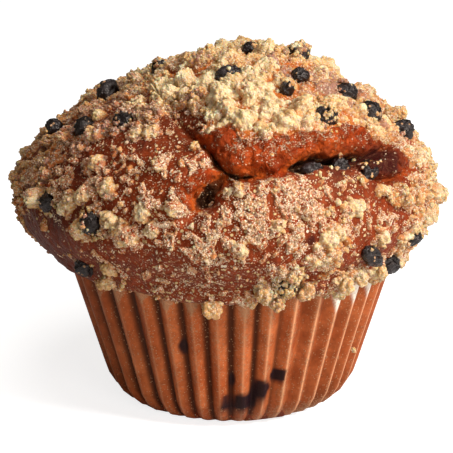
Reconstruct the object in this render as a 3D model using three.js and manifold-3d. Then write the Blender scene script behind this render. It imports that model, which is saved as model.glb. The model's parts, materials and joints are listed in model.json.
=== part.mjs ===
// A blueberry muffin with crumb topping, baked in a pleated paper case.
//
// Units are millimetres and +Z is up. The origin is the centre of the flat base that the
// case stands on, and the front of the muffin faces -Y.
//
// The dome is star-shaped: every point of its crust is named by a direction from
// DOME_CENTRE, as an azimuth (0 at the front, growing towards +X) and an elevation, both in
// degrees, and domeRadius gives the distance of the crust in that direction.

import * as THREE from 'three';
import { mergeVertices } from 'three/addons/utils/BufferGeometryUtils.js';
import Module from 'manifold-3d';

const wasm = await Module();
wasm.setup();

// ---------------------------------------------------------------- driving sizes

const GAP = 0.3; // clearance between pieces that touch
const SLIVER = 0.08; // detail smaller than this is left out where solids are joined

const DOME_CENTRE = new THREE.Vector3(0, 0, 50);
const BELLY_RADIUS = 46.6; // mushroom top, half its width
const CROWN_HEIGHT = 28.8; // crown above the centre
const UNDERSIDE_DEPTH = 19.5; // underside below the centre
const CROWN_ROUNDING = 2.15; // exponents of the two half ovals
const UNDERSIDE_ROUNDING = 2.3;
const DOME_DETAIL = 12;

const CASE_HEIGHT = 35.8;
const CASE_WALL = 0.5;
const PLUG_BELOW_RIM = 1;
const CASE_FOOT_RADIUS = 20; // flat part of the base
const CASE_LOW_RIDGE = [30.3, 9]; // radius and height of a ridge low on the straight wall
// The rounded corner between foot and wall: radius, height, and the outward normal there.
const CASE_CORNER = [[25.6, 1.5, 0.8, -0.6], [29.3, 6, 1, -0.3]];
const CASE_FLARE = 0.3057; // growth of radius for each millimetre of height
const PLEAT_COUNT = 37;
const PLEAT_DEPTH = 1.9;
const COLUMNS_PER_PLEAT = 4;

const BERRY_SIDES = 7;
const BERRY_RINGS = 5;
const CALYX_DEPTH = 0.34; // part of the berry's radius
const CALYX_TILT = 32; // degrees between the calyx and the crust's normal

const CRUMB_COUNT = 22;
const CRUMB_RADIUS = [1.9, 1.1]; // largest and smallest scattered crumb
const CRUMB_THICKNESS = 0.8; // half thickness of a scattered crumb for each mm of radius
const CRUMB_STANDS_OUT = 0.25; // middle of a crumb above the crust, in half thicknesses
const CRUMB_STRETCH = [0.8, 1.15]; // one side of a crumb to the other
const CRUMB_UNEVEN = [0.84, 1.14]; // corners of a crumb
const CRUMB_SPACING = 0.9; // free room round a crumb, in radii
const LOWEST_CRUMB = -0.25; // sine of the lowest elevation with scattered crumbs
const MOST_TRIES = 6000;

// Rounded swellings and hollows of the dome: azimuth, elevation, width (degrees), height.
const LOBES = [
  [-94, -7, 26, 3.8], [-72, -26, 18, 2.0], [-100, 36, 26, -4.8], [20, 76, 26, 3.4],
  [80, 60, 16, 1.6], [95, 27, 20, -2.2], [100, -25, 18, 1.5], [-120, 18, 14, 1.0],
  [95, 5, 14, -0.6], [-100, 66, 15, 1.8], [10, 6, 20, 1.2], [-30, 20, 12, 0.8],
  [-45, -2, 14, 0.8], [-13, 17.5, 9, 1.6], [1, 9, 8, -1.0], [60, 16.5, 8, 1.6],
  [50, 6, 8, -0.8], [170, 14, 9, 1.2], [148, 12, 8, -0.8],
];

// The crown has risen above the rest of the top as one plate: azimuth, elevation, width, rise.
const CROWN_RISE = [[16, 38, 30, 4.4], [158, 40, 26, 3.6]];
const CLOSED_RIM_SLOPE = 22; // how far the rise spreads where the crown's rim has not torn

// Cracks of the crust. A path lists azimuth, elevation and how far the crack is open (0 to
// 1). The side on the left of the path is the higher one. highSide and lowSide are the
// widths of the two walls.
const CROWN_RIM = {
  path: [
    [-52, 50, 0.3], [-32, 41, 0.45], [-18, 33.5, 0.6], [-8, 26, 0.9], [-1, 19.5, 1],
    [11, 19, 1], [24, 21, 1], [38, 19.8, 1], [54, 19.2, 0.8], [76, 25, 0.25],
    [98, 34, 0.1], [125, 28, 0.6], [150, 22, 1], [175, 25, 0.9], [200, 33, 0.5],
    [225, 44, 0.1], [265, 54, 0],
  ],
  depth: 5.2, highSide: 8.5, lowSide: 2, closed: true,
};
const SIDE_CRACKS = [
  {
    path: [[-15, 4.5, 0], [-9.5, 9.5, 0.8], [-4, 15.5, 1], [-1, 19.5, 0.9]],
    depth: 5, highSide: 5, lowSide: 2.2, closed: false,
  },
  {
    path: [[40, 19.2, 0.5], [46, 13.5, 1], [56, 11, 1], [66, 13, 0.7], [78, 22, 0]],
    depth: 2.6, highSide: 3.5, lowSide: 2, closed: false,
  },
  {
    path: [[172, 1, 0], [164, 9, 0.8], [157, 16, 1], [150, 22, 0.8]],
    depth: 3.8, highSide: 4.5, lowSide: 2, closed: false,
  },
];
const CRACK_STEPS = 5; // straight steps between two points of a path
const CRACK_RADIUS = 46; // turns angles along the crust into millimetres
const CRACK_WOBBLE = 0.012;

// The cake's edge closes over the rim of the case at this height, lower where it droops:
// azimuth, width (degrees), change of height.
const EDGE_HEIGHT = 34.7;
const EDGE_DROOPS = [
  [-72, 13, -1.1], [-2, 18, -0.8], [46, 14, 0.5], [84, 14, -0.9], [150, 22, -0.8],
  [-130, 16, -0.5],
];
const EDGE_ROLL = 5.5; // half width of the roll in degrees
const EDGE_ROLL_RISE = 1; // its middle above the edge in degrees
const EDGE_OVERLAP = 0.15; // beyond the pleats' ridges
const EDGE_RIPPLE = [0.12, 9]; // millimetres, waves round the rim

// Pleats keep their own uneven places at the front, and are even round the back.
const FRONT_RIDGES = [
  -78.5, -65, -53.8, -43.3, -31.8, -22.7, -13.6, -4.9, 4.7, 13.8, 22.6, 31.6, 40.2, 48.6,
  57.4, 67.2, 79.2,
];

// Berries: azimuth, elevation, length, width, thickness, how far it stands out, turn in the
// crust (degrees).
const BERRIES = [
  [-103, 35, 6.2, 4.6, 5.0, 3.8, 20], [-80, 20, 5.6, 4.0, 4.2, 2.7, 20],
  [-60, 26, 5.4, 4.2, 4.2, 2.5, 25], [-45, 32, 5.2, 4.6, 4.2, 1.2, 0],
  [-101, 59, 5.0, 4.4, 4.2, 1.4, 30], [-1, 58, 6.4, 4.0, 3.8, 1.1, 5],
  [100, 82, 4.8, 4.4, 4.2, 1.3, 0], [84, 64, 5.2, 4.8, 4.6, 2.4, 40],
  [43, 53, 4.0, 3.6, 3.6, 1.5, 20], [26, 46, 3.8, 3.2, 3.4, 1.3, 70],
  [61, 41, 5.2, 4.4, 4.4, 2.0, 30], [62, 31, 5.2, 4.9, 4.6, 2.4, 0],
  [76, 21, 5.6, 5.0, 4.8, 2.6, 10], [36, 34, 5.4, 4.8, 4.4, 1.5, 50],
  [26, 18.6, 5.4, 3.8, 3.8, -0.6, 5], [36.5, 18.2, 4.6, 3.8, 3.8, -0.4, 0],
  [46, 15.2, 5.2, 4.6, 4.4, 0.4, 60], [-59, 4, 5.0, 4.6, 4.4, 1.5, 30],
  [-40, 2, 5.6, 4.8, 4.6, 1.6, 70], [-49, -14, 5.4, 4.2, 4.2, 1.6, 10],
  [42, -8, 7.4, 3.8, 3.8, 1.7, 5], [56, -15.5, 5.6, 4.6, 4.4, 2.4, 20],
  [63, -7.5, 4.0, 3.8, 3.6, 1.8, 0], [15.5, -14, 5.0, 4.4, 4.2, 1.8, 0],
  [113, 8, 5.0, 4.6, 4.4, 2.0, 40], [152, 33, 5.2, 4.6, 4.4, 1.8, 10],
  [140, -7, 5.6, 4.4, 4.2, 1.8, 15], [-168, -9, 5.0, 4.6, 4.4, 1.8, 80],
  [-150, 16, 5.4, 4.8, 4.6, 2.2, 20],
];

// Clumps of crumb topping that stand out singly: azimuth, elevation, half width, half
// thickness.
const CLUMPS = [
  [-6, -22.8, 2.6, 1.4], [9, -15.5, 2.7, 1.8], [13, -19, 2.3, 1.6], [21.5, -16, 2.8, 1.8],
  [18, -10, 2.4, 1.5], [34.5, -17.5, 2.9, 1.9], [40, -15.8, 2.4, 1.7],
  [49.5, -17.5, 2.6, 1.6], [-38, -11.5, 2.1, 1.5], [-41, -17.5, 2.2, 1.5],
  [-43, 18, 2.3, 1.6], [26, 0, 3.2, 1.6], [33.5, 7, 2.6, 1.8], [-30, 30, 2.6, 1.6],
  [-46, 52, 3.4, 1.9], [-29, 55, 3.2, 1.8], [-38, 44, 3.0, 1.7], [-36, 12, 2.6, 1.7],
  [-48, 6.5, 2.4, 1.6], [-27, 0, 2.2, 1.5], [-89, 3, 2.0, 1.6], [110, 30, 2.4, 1.7],
  [-96, 47, 2.8, 1.8], [78, 1, 2.5, 1.9], [84, 11, 2.5, 2.0], [72, -5, 2.4, 1.7],
  [88, 24, 2.6, 2.0], [84, 38, 2.8, 2.0], [112, 52, 2.6, 1.8], [66, 52, 2.8, 1.9],
  [-7, 49, 3.2, 1.8], [7, 46, 3.2, 1.9], [14, 38, 2.8, 1.8], [-2, 39, 3.0, 1.8],
  [27, 38, 2.6, 1.8], [49, 38, 2.8, 1.7], [-16, 43, 2.8, 1.7], [28, 62, 3.2, 1.8],
  [-4, 71, 3.2, 1.8], [56, 74, 3.2, 1.9], [-52, 70, 3.2, 1.8], [140, 74, 3.2, 1.9],
];

// Parts of the crust where crumbs lie close together: azimuth, elevation, width (degrees),
// weight. Bare crust has a negative weight.
const CRUMB_COVER = [
  [0, 90, 50, 1.1], [-60, 15, 30, 0.3], [40, 3, 26, 0.3], [80, 12, 22, 0.35],
  [-5, -8, 30, 0.1], [150, 8, 45, 0.3], [-150, 5, 45, 0.3], [18, 26, 16, -1.2],
  [42, 23, 12, -1.2], [-20, -14, 22, -0.5], [-14, 19, 9, -0.7], [155, 28, 16, -1.0],
];

// ---------------------------------------------------------------- small helpers

const radians = THREE.MathUtils.degToRad;
const degrees = THREE.MathUtils.radToDeg;

function direction(azimuth, elevation) {
  const a = radians(azimuth);
  const e = radians(elevation);
  return new THREE.Vector3(Math.cos(e) * Math.sin(a), -Math.cos(e) * Math.cos(a), Math.sin(e));
}

function azimuthOf(point) {
  return degrees(Math.atan2(point.x, -point.y));
}

function smooth(x, low, high) {
  const t = THREE.MathUtils.clamp((x - low) / (high - low), 0, 1);
  return t * t * (3 - 2 * t);
}

function roundedStep(x) {
  return Math.sqrt(1 - (1 - Math.min(x, 1)) ** 2);
}

function swelling(dir, lobes) {
  let sum = 0;
  for (const [azimuth, elevation, width, height] of lobes) {
    const away = degrees(dir.angleTo(direction(azimuth, elevation)));
    sum += height * Math.exp(-((away / width) ** 2));
  }
  return sum;
}

function around(azimuth, centre, width) {
  const away = THREE.MathUtils.euclideanModulo(azimuth - centre + 180, 360) - 180;
  return Math.exp(-((away / width) ** 2));
}

// Repeatable random numbers from 0 to 1.
function randomSource(seed) {
  let state = seed;
  return () => {
    state = (state + 0x6d2b79f5) | 0;
    let t = Math.imul(state ^ (state >>> 15), 1 | state);
    t = (t + Math.imul(t ^ (t >>> 7), 61 | t)) ^ t;
    return ((t ^ (t >>> 14)) >>> 0) / 4294967296;
  };
}

// ---------------------------------------------------------------- crust of the dome

// A crack's path as unit directions on a smooth curve, each with its opening.
function crackCurve({ path, closed }) {
  const points = path.map(([azimuth, elevation]) => direction(azimuth, elevation));
  const curve = new THREE.CatmullRomCurve3(points, closed, 'catmullrom', 0.5);
  const spans = closed ? path.length : path.length - 1;
  const steps = [];
  for (let i = 0; i <= spans * CRACK_STEPS; i += 1) {
    const span = Math.min(Math.floor(i / CRACK_STEPS), spans - 1);
    const part = i / CRACK_STEPS - span;
    const from = path[span][2];
    const to = path[(span + 1) % path.length][2];
    const at = curve.getPoint(i / (spans * CRACK_STEPS)).normalize();
    steps.push({ at, open: from + (to - from) * part });
  }
  return steps;
}

const crownCurve = crackCurve(CROWN_RIM);
const sideCurves = SIDE_CRACKS.map(crackCurve);

// Distance from a crack in millimetres, positive on its high side, and its opening there.
function nearestOnCrack(dir, steps) {
  let best = Infinity;
  let distance = 0;
  let open = 0;
  const span = new THREE.Vector3();
  const foot = new THREE.Vector3();
  for (let i = 0; i + 1 < steps.length; i += 1) {
    const a = steps[i];
    const b = steps[i + 1];
    span.subVectors(b.at, a.at);
    const along = foot.subVectors(dir, a.at).dot(span) / span.lengthSq();
    const t = THREE.MathUtils.clamp(along, 0, 1);
    foot.copy(a.at).addScaledVector(span, t);
    const away = foot.distanceTo(dir);
    if (away < best) {
      best = away;
      const side = Math.sign(dir.dot(span.crossVectors(a.at, b.at))) || 1;
      distance = away * side * CRACK_RADIUS;
      open = a.open + t * (b.open - a.open);
    }
  }
  return { distance, open };
}

// Slightly bent directions, so that cracks run unevenly.
function wobbled({ x, y, z }) {
  const bend = new THREE.Vector3(
    Math.sin(9 * y + 4 * z + 1) + 0.6 * Math.sin(21 * z - 13 * x),
    Math.sin(8 * z + 5 * x + 2) + 0.6 * Math.sin(23 * x + 11 * y),
    Math.sin(10 * x - 6 * y + 0.5) + 0.7 * Math.sin(19 * y + 17 * x),
  );
  return bend.multiplyScalar(CRACK_WOBBLE).add({ x, y, z }).normalize();
}

function grooveDepth(near, crack) {
  const away = Math.abs(near.distance);
  const wall = near.distance > 0
    ? roundedStep(away / crack.highSide)
    : smooth(away, 0, crack.lowSide);
  return crack.depth * near.open * (1 - wall);
}

function crownRise(dir, near) {
  if (near.distance <= 0) {
    return 0;
  }
  const torn = near.open;
  const slope = THREE.MathUtils.lerp(CLOSED_RIM_SLOPE, CROWN_RIM.highSide, torn);
  const step = torn * roundedStep(near.distance / slope)
    + (1 - torn) * smooth(near.distance, 0, slope);
  return step * swelling(dir, CROWN_RISE);
}

// The plain oval of the dome with its swellings.
function bodyRadius(dir) {
  const flat = Math.hypot(dir.x, dir.y);
  const upper = dir.z > 0;
  const half = upper ? CROWN_HEIGHT : UNDERSIDE_DEPTH;
  const power = upper ? CROWN_ROUNDING : UNDERSIDE_ROUNDING;
  const oval = (flat / BELLY_RADIUS) ** power + (Math.abs(dir.z) / half) ** power;
  return oval ** (-1 / power) + swelling(dir, LOBES);
}

function ridgeRadius(height) {
  const [radius, from] = CASE_LOW_RIDGE;
  return radius + (height - from) * CASE_FLARE;
}

// What it takes to close the cake's edge over the rim of the case.
function edgeRoll(dir) {
  const azimuth = azimuthOf(dir);
  const [ripple, waves] = EDGE_RIPPLE;
  let height = EDGE_HEIGHT + ripple * Math.sin(radians(azimuth) * waves);
  for (const [centre, width, change] of EDGE_DROOPS) {
    height += change * around(azimuth, centre, width);
  }
  const radius = ridgeRadius(height);
  const drop = height - DOME_CENTRE.z;
  const elevation = degrees(Math.atan2(drop, radius));
  const missing = Math.hypot(radius, drop) + EDGE_OVERLAP
    - bodyRadius(direction(azimuth, elevation));
  const away = degrees(Math.asin(dir.z)) - elevation - EDGE_ROLL_RISE;
  return Math.max(missing, 0) * Math.exp(-((away / EDGE_ROLL) ** 2));
}

function domeRadius(dir) {
  const bent = wobbled(dir);
  const rim = nearestOnCrack(bent, crownCurve);
  let groove = grooveDepth(rim, CROWN_RIM);
  sideCurves.forEach((curve, i) => {
    groove = Math.max(groove, grooveDepth(nearestOnCrack(bent, curve), SIDE_CRACKS[i]));
  });
  return bodyRadius(dir) + crownRise(dir, rim) + edgeRoll(dir) - groove;
}

function crustPoint(azimuth, elevation, outwards = 0) {
  const dir = direction(azimuth, elevation);
  return dir.clone().multiplyScalar(domeRadius(dir) + outwards).add(DOME_CENTRE);
}

// ---------------------------------------------------------------- meshes and solids

// Welded geometry without slivers that have two corners in one place.
function welded(geometry) {
  geometry.deleteAttribute('normal');
  geometry.deleteAttribute('uv');
  const merged = mergeVertices(geometry, 1e-4);
  const corners = merged.index.array;
  const kept = [];
  for (let i = 0; i < corners.length; i += 3) {
    const [a, b, c] = corners.slice(i, i + 3);
    if (a !== b && b !== c && c !== a) {
      kept.push(a, b, c);
    }
  }
  merged.setIndex(kept);
  return merged;
}

function toSolid(geometry) {
  const mesh = welded(geometry);
  return new wasm.Manifold(new wasm.Mesh({
    numProp: 3,
    vertProperties: new Float32Array(mesh.attributes.position.array),
    triVerts: new Uint32Array(mesh.index.array),
  }));
}

function toGeometry(solid) {
  const { vertProperties, triVerts } = solid.getMesh();
  const geometry = new THREE.BufferGeometry();
  geometry.setAttribute('position', new THREE.BufferAttribute(vertProperties, 3));
  geometry.setIndex(new THREE.BufferAttribute(triVerts, 1));
  geometry.computeVertexNormals();
  return geometry;
}

function reshaped(geometry, move) {
  const position = geometry.attributes.position;
  const point = new THREE.Vector3();
  for (let i = 0; i < position.count; i += 1) {
    move(point.fromBufferAttribute(position, i));
    position.setXYZ(i, point.x, point.y, point.z);
  }
  return geometry;
}

// ---------------------------------------------------------------- paper case

function ridgeAzimuths() {
  const first = FRONT_RIDGES[0];
  const last = FRONT_RIDGES[FRONT_RIDGES.length - 1];
  const others = PLEAT_COUNT - FRONT_RIDGES.length;
  const spacing = (360 + first - last) / (others + 1);
  const ridges = [...FRONT_RIDGES];
  for (let i = 1; i <= others; i += 1) {
    ridges.push(last + i * spacing);
  }
  ridges.push(first + 360);
  return ridges;
}

const RIDGES = ridgeAzimuths();

// Moves an even column of a lathe to its pleat, and in towards the valleys.
function pleat(point) {
  const radius = Math.hypot(point.x, point.y);
  if (radius < 1e-6) {
    return;
  }
  const turn = THREE.MathUtils.euclideanModulo(azimuthOf(point) + 0.01, 360) - 0.01;
  const place = (turn / 360) * PLEAT_COUNT;
  const ridge = Math.min(Math.floor(place + 1e-3), PLEAT_COUNT - 1);
  const part = place - ridge;
  const azimuth = radians(THREE.MathUtils.lerp(RIDGES[ridge], RIDGES[ridge + 1], part));
  const fade = smooth(radius, CASE_FOOT_RADIUS, CASE_CORNER[1][0]);
  const valley = PLEAT_DEPTH * fade * (1 - Math.abs(Math.cos(Math.PI * part)));
  point.x = (radius - valley) * Math.sin(azimuth);
  point.y = -(radius - valley) * Math.cos(azimuth);
}

// A pleated body of revolution from a profile of radius and height, in order from its
// bottom centre round the outside.
function pleatedLathe(profile) {
  const points = profile.map(([radius, height]) => new THREE.Vector2(radius, height));
  const lathe = new THREE.LatheGeometry(points, PLEAT_COUNT * COLUMNS_PER_PLEAT);
  return reshaped(lathe.rotateX(Math.PI / 2), pleat);
}

// Outline of the case grown outwards by an amount, up to a height.
function caseOutline(grown, top) {
  return [
    [0, -grown],
    [CASE_FOOT_RADIUS, -grown],
    ...CASE_CORNER.map(([r, z, outR, outZ]) => [r + grown * outR, z + grown * outZ]),
    [ridgeRadius(top) + grown, top],
  ];
}

function caseShell(grown) {
  const top = CASE_HEIGHT + grown;
  const outside = caseOutline(grown, top);
  const inside = caseOutline(-CASE_WALL - grown, top).reverse();
  return pleatedLathe([...outside, ...inside]);
}

// ---------------------------------------------------------------- berries

// Places a shape made round the origin, with its Z axis pointing out of the crust.
function standOnCrust(geometry, azimuth, elevation, outwards, turn) {
  const normal = direction(azimuth, elevation);
  const upright = new THREE.Quaternion().setFromUnitVectors(new THREE.Vector3(0, 0, 1), normal);
  geometry.rotateZ(radians(turn));
  geometry.applyQuaternion(upright);
  const { x, y, z } = crustPoint(azimuth, elevation, outwards);
  return geometry.translate(x, y, z);
}

function berryShape([azimuth, elevation, length, width, thickness, proud, turn], grown) {
  const berry = new THREE.SphereGeometry(1, BERRY_SIDES, BERRY_RINGS);
  reshaped(berry, (point) => {
    point.y -= point.y > 0.999 ? CALYX_DEPTH : 0;
  });
  berry.rotateX(radians(90 - CALYX_TILT));
  berry.scale(length / 2 + grown, width / 2 + grown, thickness / 2 + grown);
  return standOnCrust(berry, azimuth, elevation, proud - thickness / 2, turn);
}

// ---------------------------------------------------------------- crumb topping

const roughness = randomSource(11);

function between([low, high], part) {
  return low + (high - low) * part;
}

function crumbShape(azimuth, elevation, halfWidth, halfThickness) {
  const crumb = welded(new THREE.IcosahedronGeometry(1, 0));
  const stretch = between(CRUMB_STRETCH, roughness());
  reshaped(crumb, (point) => {
    point.multiplyScalar(between(CRUMB_UNEVEN, roughness()));
    point.x *= halfWidth;
    point.y *= halfWidth * stretch;
    point.z *= halfThickness;
  });
  const outwards = halfThickness * CRUMB_STANDS_OUT;
  return standOnCrust(crumb, azimuth, elevation, outwards, 360 * roughness());
}

// Smallest distance between a place on the crust and the places in a list.
function clearance(place, others) {
  return Math.min(...others.map((other) => other.at.distanceTo(place) - other.radius));
}

// Crumbs spread over the crust where the topping is thick, the largest first.
function scatteredCrumbs(taken) {
  const draw = randomSource(29);
  const crumbs = [];
  for (let tries = 0; crumbs.length < CRUMB_COUNT && tries < MOST_TRIES; tries += 1) {
    const azimuth = 360 * draw() - 180;
    const elevation = degrees(Math.asin(between([LOWEST_CRUMB, 1], draw())));
    const size = between(CRUMB_RADIUS, crumbs.length / CRUMB_COUNT);
    const wanted = draw() < swelling(direction(azimuth, elevation), CRUMB_COVER);
    const at = crustPoint(azimuth, elevation);
    if (wanted && clearance(at, taken) > size * CRUMB_SPACING) {
      crumbs.push([azimuth, elevation, size, size * CRUMB_THICKNESS]);
      taken.push({ at, radius: size });
    }
  }
  return crumbs;
}

function toppingPlaces() {
  const berries = BERRIES.map(([azimuth, elevation, length]) => (
    { at: crustPoint(azimuth, elevation), radius: length / 2 }));
  const clumps = CLUMPS.map(([azimuth, elevation, halfWidth]) => (
    { at: crustPoint(azimuth, elevation), radius: halfWidth * 0.8 }));
  return [...CLUMPS, ...scatteredCrumbs([...berries, ...clumps])];
}

// ---------------------------------------------------------------- cake

function domeShape() {
  const ball = new THREE.IcosahedronGeometry(1, DOME_DETAIL);
  return reshaped(ball, (point) => {
    point.normalize();
    point.multiplyScalar(domeRadius(point)).add(DOME_CENTRE);
  });
}

// Cake inside the case, out to the middle of the case's wall, which is then cut away.
function plugShape() {
  const top = CASE_HEIGHT - PLUG_BELOW_RIM;
  return pleatedLathe([...caseOutline(-CASE_WALL / 2, top), [0, top]]);
}

function largestPiece(solid) {
  const pieces = solid.decompose();
  return pieces.reduce((best, piece) => (piece.volume() > best.volume() ? piece : best));
}

function cakeSolid() {
  let cake = toSolid(domeShape()).add(toSolid(plugShape()));
  for (const place of toppingPlaces()) {
    cake = cake.add(toSolid(crumbShape(...place)));
  }
  cake = cake.subtract(toSolid(caseShell(GAP)));
  for (const berry of BERRIES) {
    cake = cake.subtract(toSolid(berryShape(berry, GAP)));
  }
  return largestPiece(cake).simplify(SLIVER);
}

// ---------------------------------------------------------------- scene graph

const FINISHES = {
  crust: new THREE.MeshStandardMaterial({ color: 0x9c5a2e, roughness: 0.75, metalness: 0 }),
  paper: new THREE.MeshStandardMaterial({ color: 0xa0643c, roughness: 0.85, metalness: 0 }),
  berry: new THREE.MeshStandardMaterial({ color: 0x241c26, roughness: 0.45, metalness: 0 }),
};

function named(name, geometry, material) {
  const mesh = new THREE.Mesh(geometry, material);
  mesh.name = name;
  return mesh;
}

const muffin = new THREE.Group();
muffin.add(named('cake', toGeometry(cakeSolid()), FINISHES.crust));
muffin.add(named('paper_case', toGeometry(toSolid(caseShell(0))), FINISHES.paper));
BERRIES.forEach((berry, i) => {
  const number = String(i + 1).padStart(2, '0');
  const geometry = toGeometry(toSolid(berryShape(berry, 0)));
  muffin.add(named(`berry_${number}`, geometry, FINISHES.berry));
});

export default muffin;
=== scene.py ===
"""Berry muffin with streusel topping in a pleated paper case.

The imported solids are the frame. Each piece here is modelled at its real size in that frame:
metres, +Z up, the front towards -Y and the origin in the middle of the case's flat base.

The dome is star-shaped. A place on its crust is a direction from DOME_CENTRE, given as an
azimuth (0 at the front, growing towards +X) and an elevation in degrees. The tables of the
dome's form hold millimetres, and MM turns them into metres.
"""

import json
import math

import bmesh
import bpy
import numpy as np
from bpy.props import FloatProperty, FloatVectorProperty, IntProperty, PointerProperty
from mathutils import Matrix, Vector, kdtree, noise
from mathutils.bvhtree import BVHTree

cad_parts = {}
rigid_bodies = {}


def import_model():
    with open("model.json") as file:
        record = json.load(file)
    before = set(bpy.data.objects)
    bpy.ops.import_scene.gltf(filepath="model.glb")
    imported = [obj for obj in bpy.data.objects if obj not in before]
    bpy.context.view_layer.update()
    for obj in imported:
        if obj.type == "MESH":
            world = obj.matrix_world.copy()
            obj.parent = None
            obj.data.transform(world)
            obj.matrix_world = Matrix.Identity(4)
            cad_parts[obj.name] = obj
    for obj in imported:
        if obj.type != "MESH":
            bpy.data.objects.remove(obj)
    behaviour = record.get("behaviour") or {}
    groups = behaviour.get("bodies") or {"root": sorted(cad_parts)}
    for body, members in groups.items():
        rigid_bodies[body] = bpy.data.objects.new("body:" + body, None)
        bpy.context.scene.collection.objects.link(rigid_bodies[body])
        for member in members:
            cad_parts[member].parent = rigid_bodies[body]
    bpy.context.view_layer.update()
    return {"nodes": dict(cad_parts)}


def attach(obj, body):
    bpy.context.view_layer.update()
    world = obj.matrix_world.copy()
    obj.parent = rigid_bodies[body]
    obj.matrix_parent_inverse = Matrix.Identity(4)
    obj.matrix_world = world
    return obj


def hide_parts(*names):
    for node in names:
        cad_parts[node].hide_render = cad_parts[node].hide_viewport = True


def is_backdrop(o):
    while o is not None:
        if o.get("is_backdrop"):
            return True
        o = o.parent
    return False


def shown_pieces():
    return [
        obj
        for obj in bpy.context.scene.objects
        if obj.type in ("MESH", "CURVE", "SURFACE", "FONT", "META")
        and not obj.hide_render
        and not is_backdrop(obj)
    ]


bl_info = {
    "name": "Streusel muffin",
    "version": (1, 0, 0),
    "blender": (4, 5, 0),
    "location": "View3D > Sidebar > Muffin",
    "description": "Builds a berry muffin with streusel topping around its packed solids",
    "category": "Object",
}

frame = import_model()
MM = 0.001
# Where each series of random draws starts.
SEEDS = {
    "paper": 3, "lumps": 5, "crumbs": 6, "grains": 7, "sugar places": 8, "sugar": 9, "layers": 11,
}

# ---------------------------------------------------------------- form of the dome

DOME_CENTRE = np.array([0.0, 0.0, 50.0])
BELLY_RADIUS = 46.6
CROWN_HEIGHT = 28.8
UNDERSIDE_DEPTH = 19.5
CROWN_ROUNDING = 2.15
UNDERSIDE_ROUNDING = 2.3

# Rounded swellings and hollows: azimuth, elevation, width (degrees), height.
LOBES = [
    (-94, -7, 26, 3.8), (-72, -26, 18, 2.0), (-100, 36, 26, -4.8), (20, 76, 26, 3.4),
    (80, 60, 16, 1.6), (95, 27, 20, -2.2), (100, -25, 18, 1.5), (-120, 18, 14, 1.0),
    (95, 5, 14, -0.6), (-100, 66, 15, 1.8), (10, 6, 20, 1.2), (-30, 20, 12, 0.8),
    (-45, -2, 14, 0.8), (-13, 17.5, 9, 1.6), (1, 9, 8, -1.0), (60, 16.5, 8, 1.6), (50, 6, 8, -0.8),
    (170, 14, 9, 1.2), (148, 12, 8, -0.8),
]
# The crown has risen as one plate: azimuth, elevation, width, rise.
CROWN_RISE = [(16, 38, 30, 4.4), (158, 40, 26, 3.6)]
CLOSED_RIM_SLOPE = 22

# Cracks: azimuth, elevation and opening (0 to 1) along the path. The left side is higher.
CROWN_RIM = {
    "path": [
        (-52, 50, 0.15), (-32, 41, 0.2), (-18, 33.5, 0.35), (-8, 26, 0.9), (-1, 19.5, 1),
        (11, 19, 1), (24, 21, 1.2), (38, 19.8, 1.25), (54, 19.2, 0.8), (76, 25, 0.25),
        (98, 34, 0.1), (125, 28, 0.6), (150, 22, 1), (175, 25, 0.9), (200, 33, 0.5),
        (225, 44, 0.1), (265, 54, 0),
    ],
    "depth": 5.2, "high_side": 8.5, "low_side": 2.0, "gap": 0.0, "bare": 7.9, "closed": True,
}
SIDE_CRACKS = [
    {
        "path": [(-15, 4.5, 0), (-9.5, 9.5, 1.05), (-4, 15.5, 0.85), (-1, 19.5, 0.7)],
        "depth": 5.0, "high_side": 5.0, "low_side": 2.2, "gap": 1.0, "bare": 5.2, "closed": False,
    },
    {
        "path": [(40, 19.2, 0.5), (46, 13.5, 1), (56, 11, 1), (66, 13, 0.7), (78, 22, 0)],
        "depth": 2.6, "high_side": 3.5, "low_side": 2.0, "gap": 0.3, "bare": 4.2, "closed": False,
    },
    {
        "path": [(172, 1, 0), (164, 9, 0.8), (157, 16, 1), (150, 22, 0.8)],
        "depth": 3.8, "high_side": 4.5, "low_side": 2.0, "gap": 0.5, "bare": 3.6, "closed": False,
    },
]
WIDE_GAP = 2.5  # where a crack's opening is more than 1
CRACK_STEPS = 5
CRACK_RADIUS = 46.0
CRACK_WOBBLE = 0.012

# Hollow beside the crown where only brown sugar lies and its crust is darkened with painted shade:
# azimuth, elevation, width, strength.
VALLEY = [(-21, 36, 8.5, 1.0), (-13, 33, 6, 0.9), (-30, 39, 6, 0.5)]
# Parts of the crown that only sugar lies on.
DUSTED_CROWN = [(-64, 63, 10, 1.0), (-30, 68, 5, 0.8), (-14, 46, 3.5, 0.8)]
# Gaps in the crown's streusel: azimuth, elevation, width, strength.
CROWN_GAPS = [
    (43, 45, 4.6, 1.0), (18, 65, 2.2, 0.9), (10, 49, 1.5, 0.9), (4, 42, 1.5, 0.9),
    (-24, 57, 2.6, 0.9), (-36, 55, 1.5, 0.9), (27, 52, 1.8, 0.9), (36, 40, 2.0, 0.9),
    (60, 58, 3.5, 0.9), (16, 55, 1.6, 0.9), (75, 46, 3.5, 0.9), (24, 60, 1.4, 0.9),
    (12, 41, 1.2, 0.8), (50, 37, 1.6, 0.8), (-5, 52, 1.3, 0.8), (62, 48, 2.0, 0.8),
    (110, 60, 5, 0.8), (150, 50, 6, 0.9), (-120, 70, 5, 0.8), (-150, 50, 6, 0.8),
]

# Where a crack has stayed closed: azimuth, elevation, width (degrees), how far.
BRIDGES = [(13.5, 18, 4.5, 0.85)]

# The cake's edge closes over the rim of the case: azimuth, width (degrees), change of height.
EDGE_HEIGHT = 34.7
EDGE_DROOPS = [
    (-72, 13, -1.1), (-2, 18, -0.8), (46, 14, 0.5), (84, 14, -0.9), (150, 22, -0.8),
    (-130, 16, -0.5),
]
EDGE_ROLL = 5.5
EDGE_ROLL_RISE = 1.0
EDGE_OVERLAP = 0.45
EDGE_RIPPLE = (0.12, 9)

# ---------------------------------------------------------------- form of the case

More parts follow.
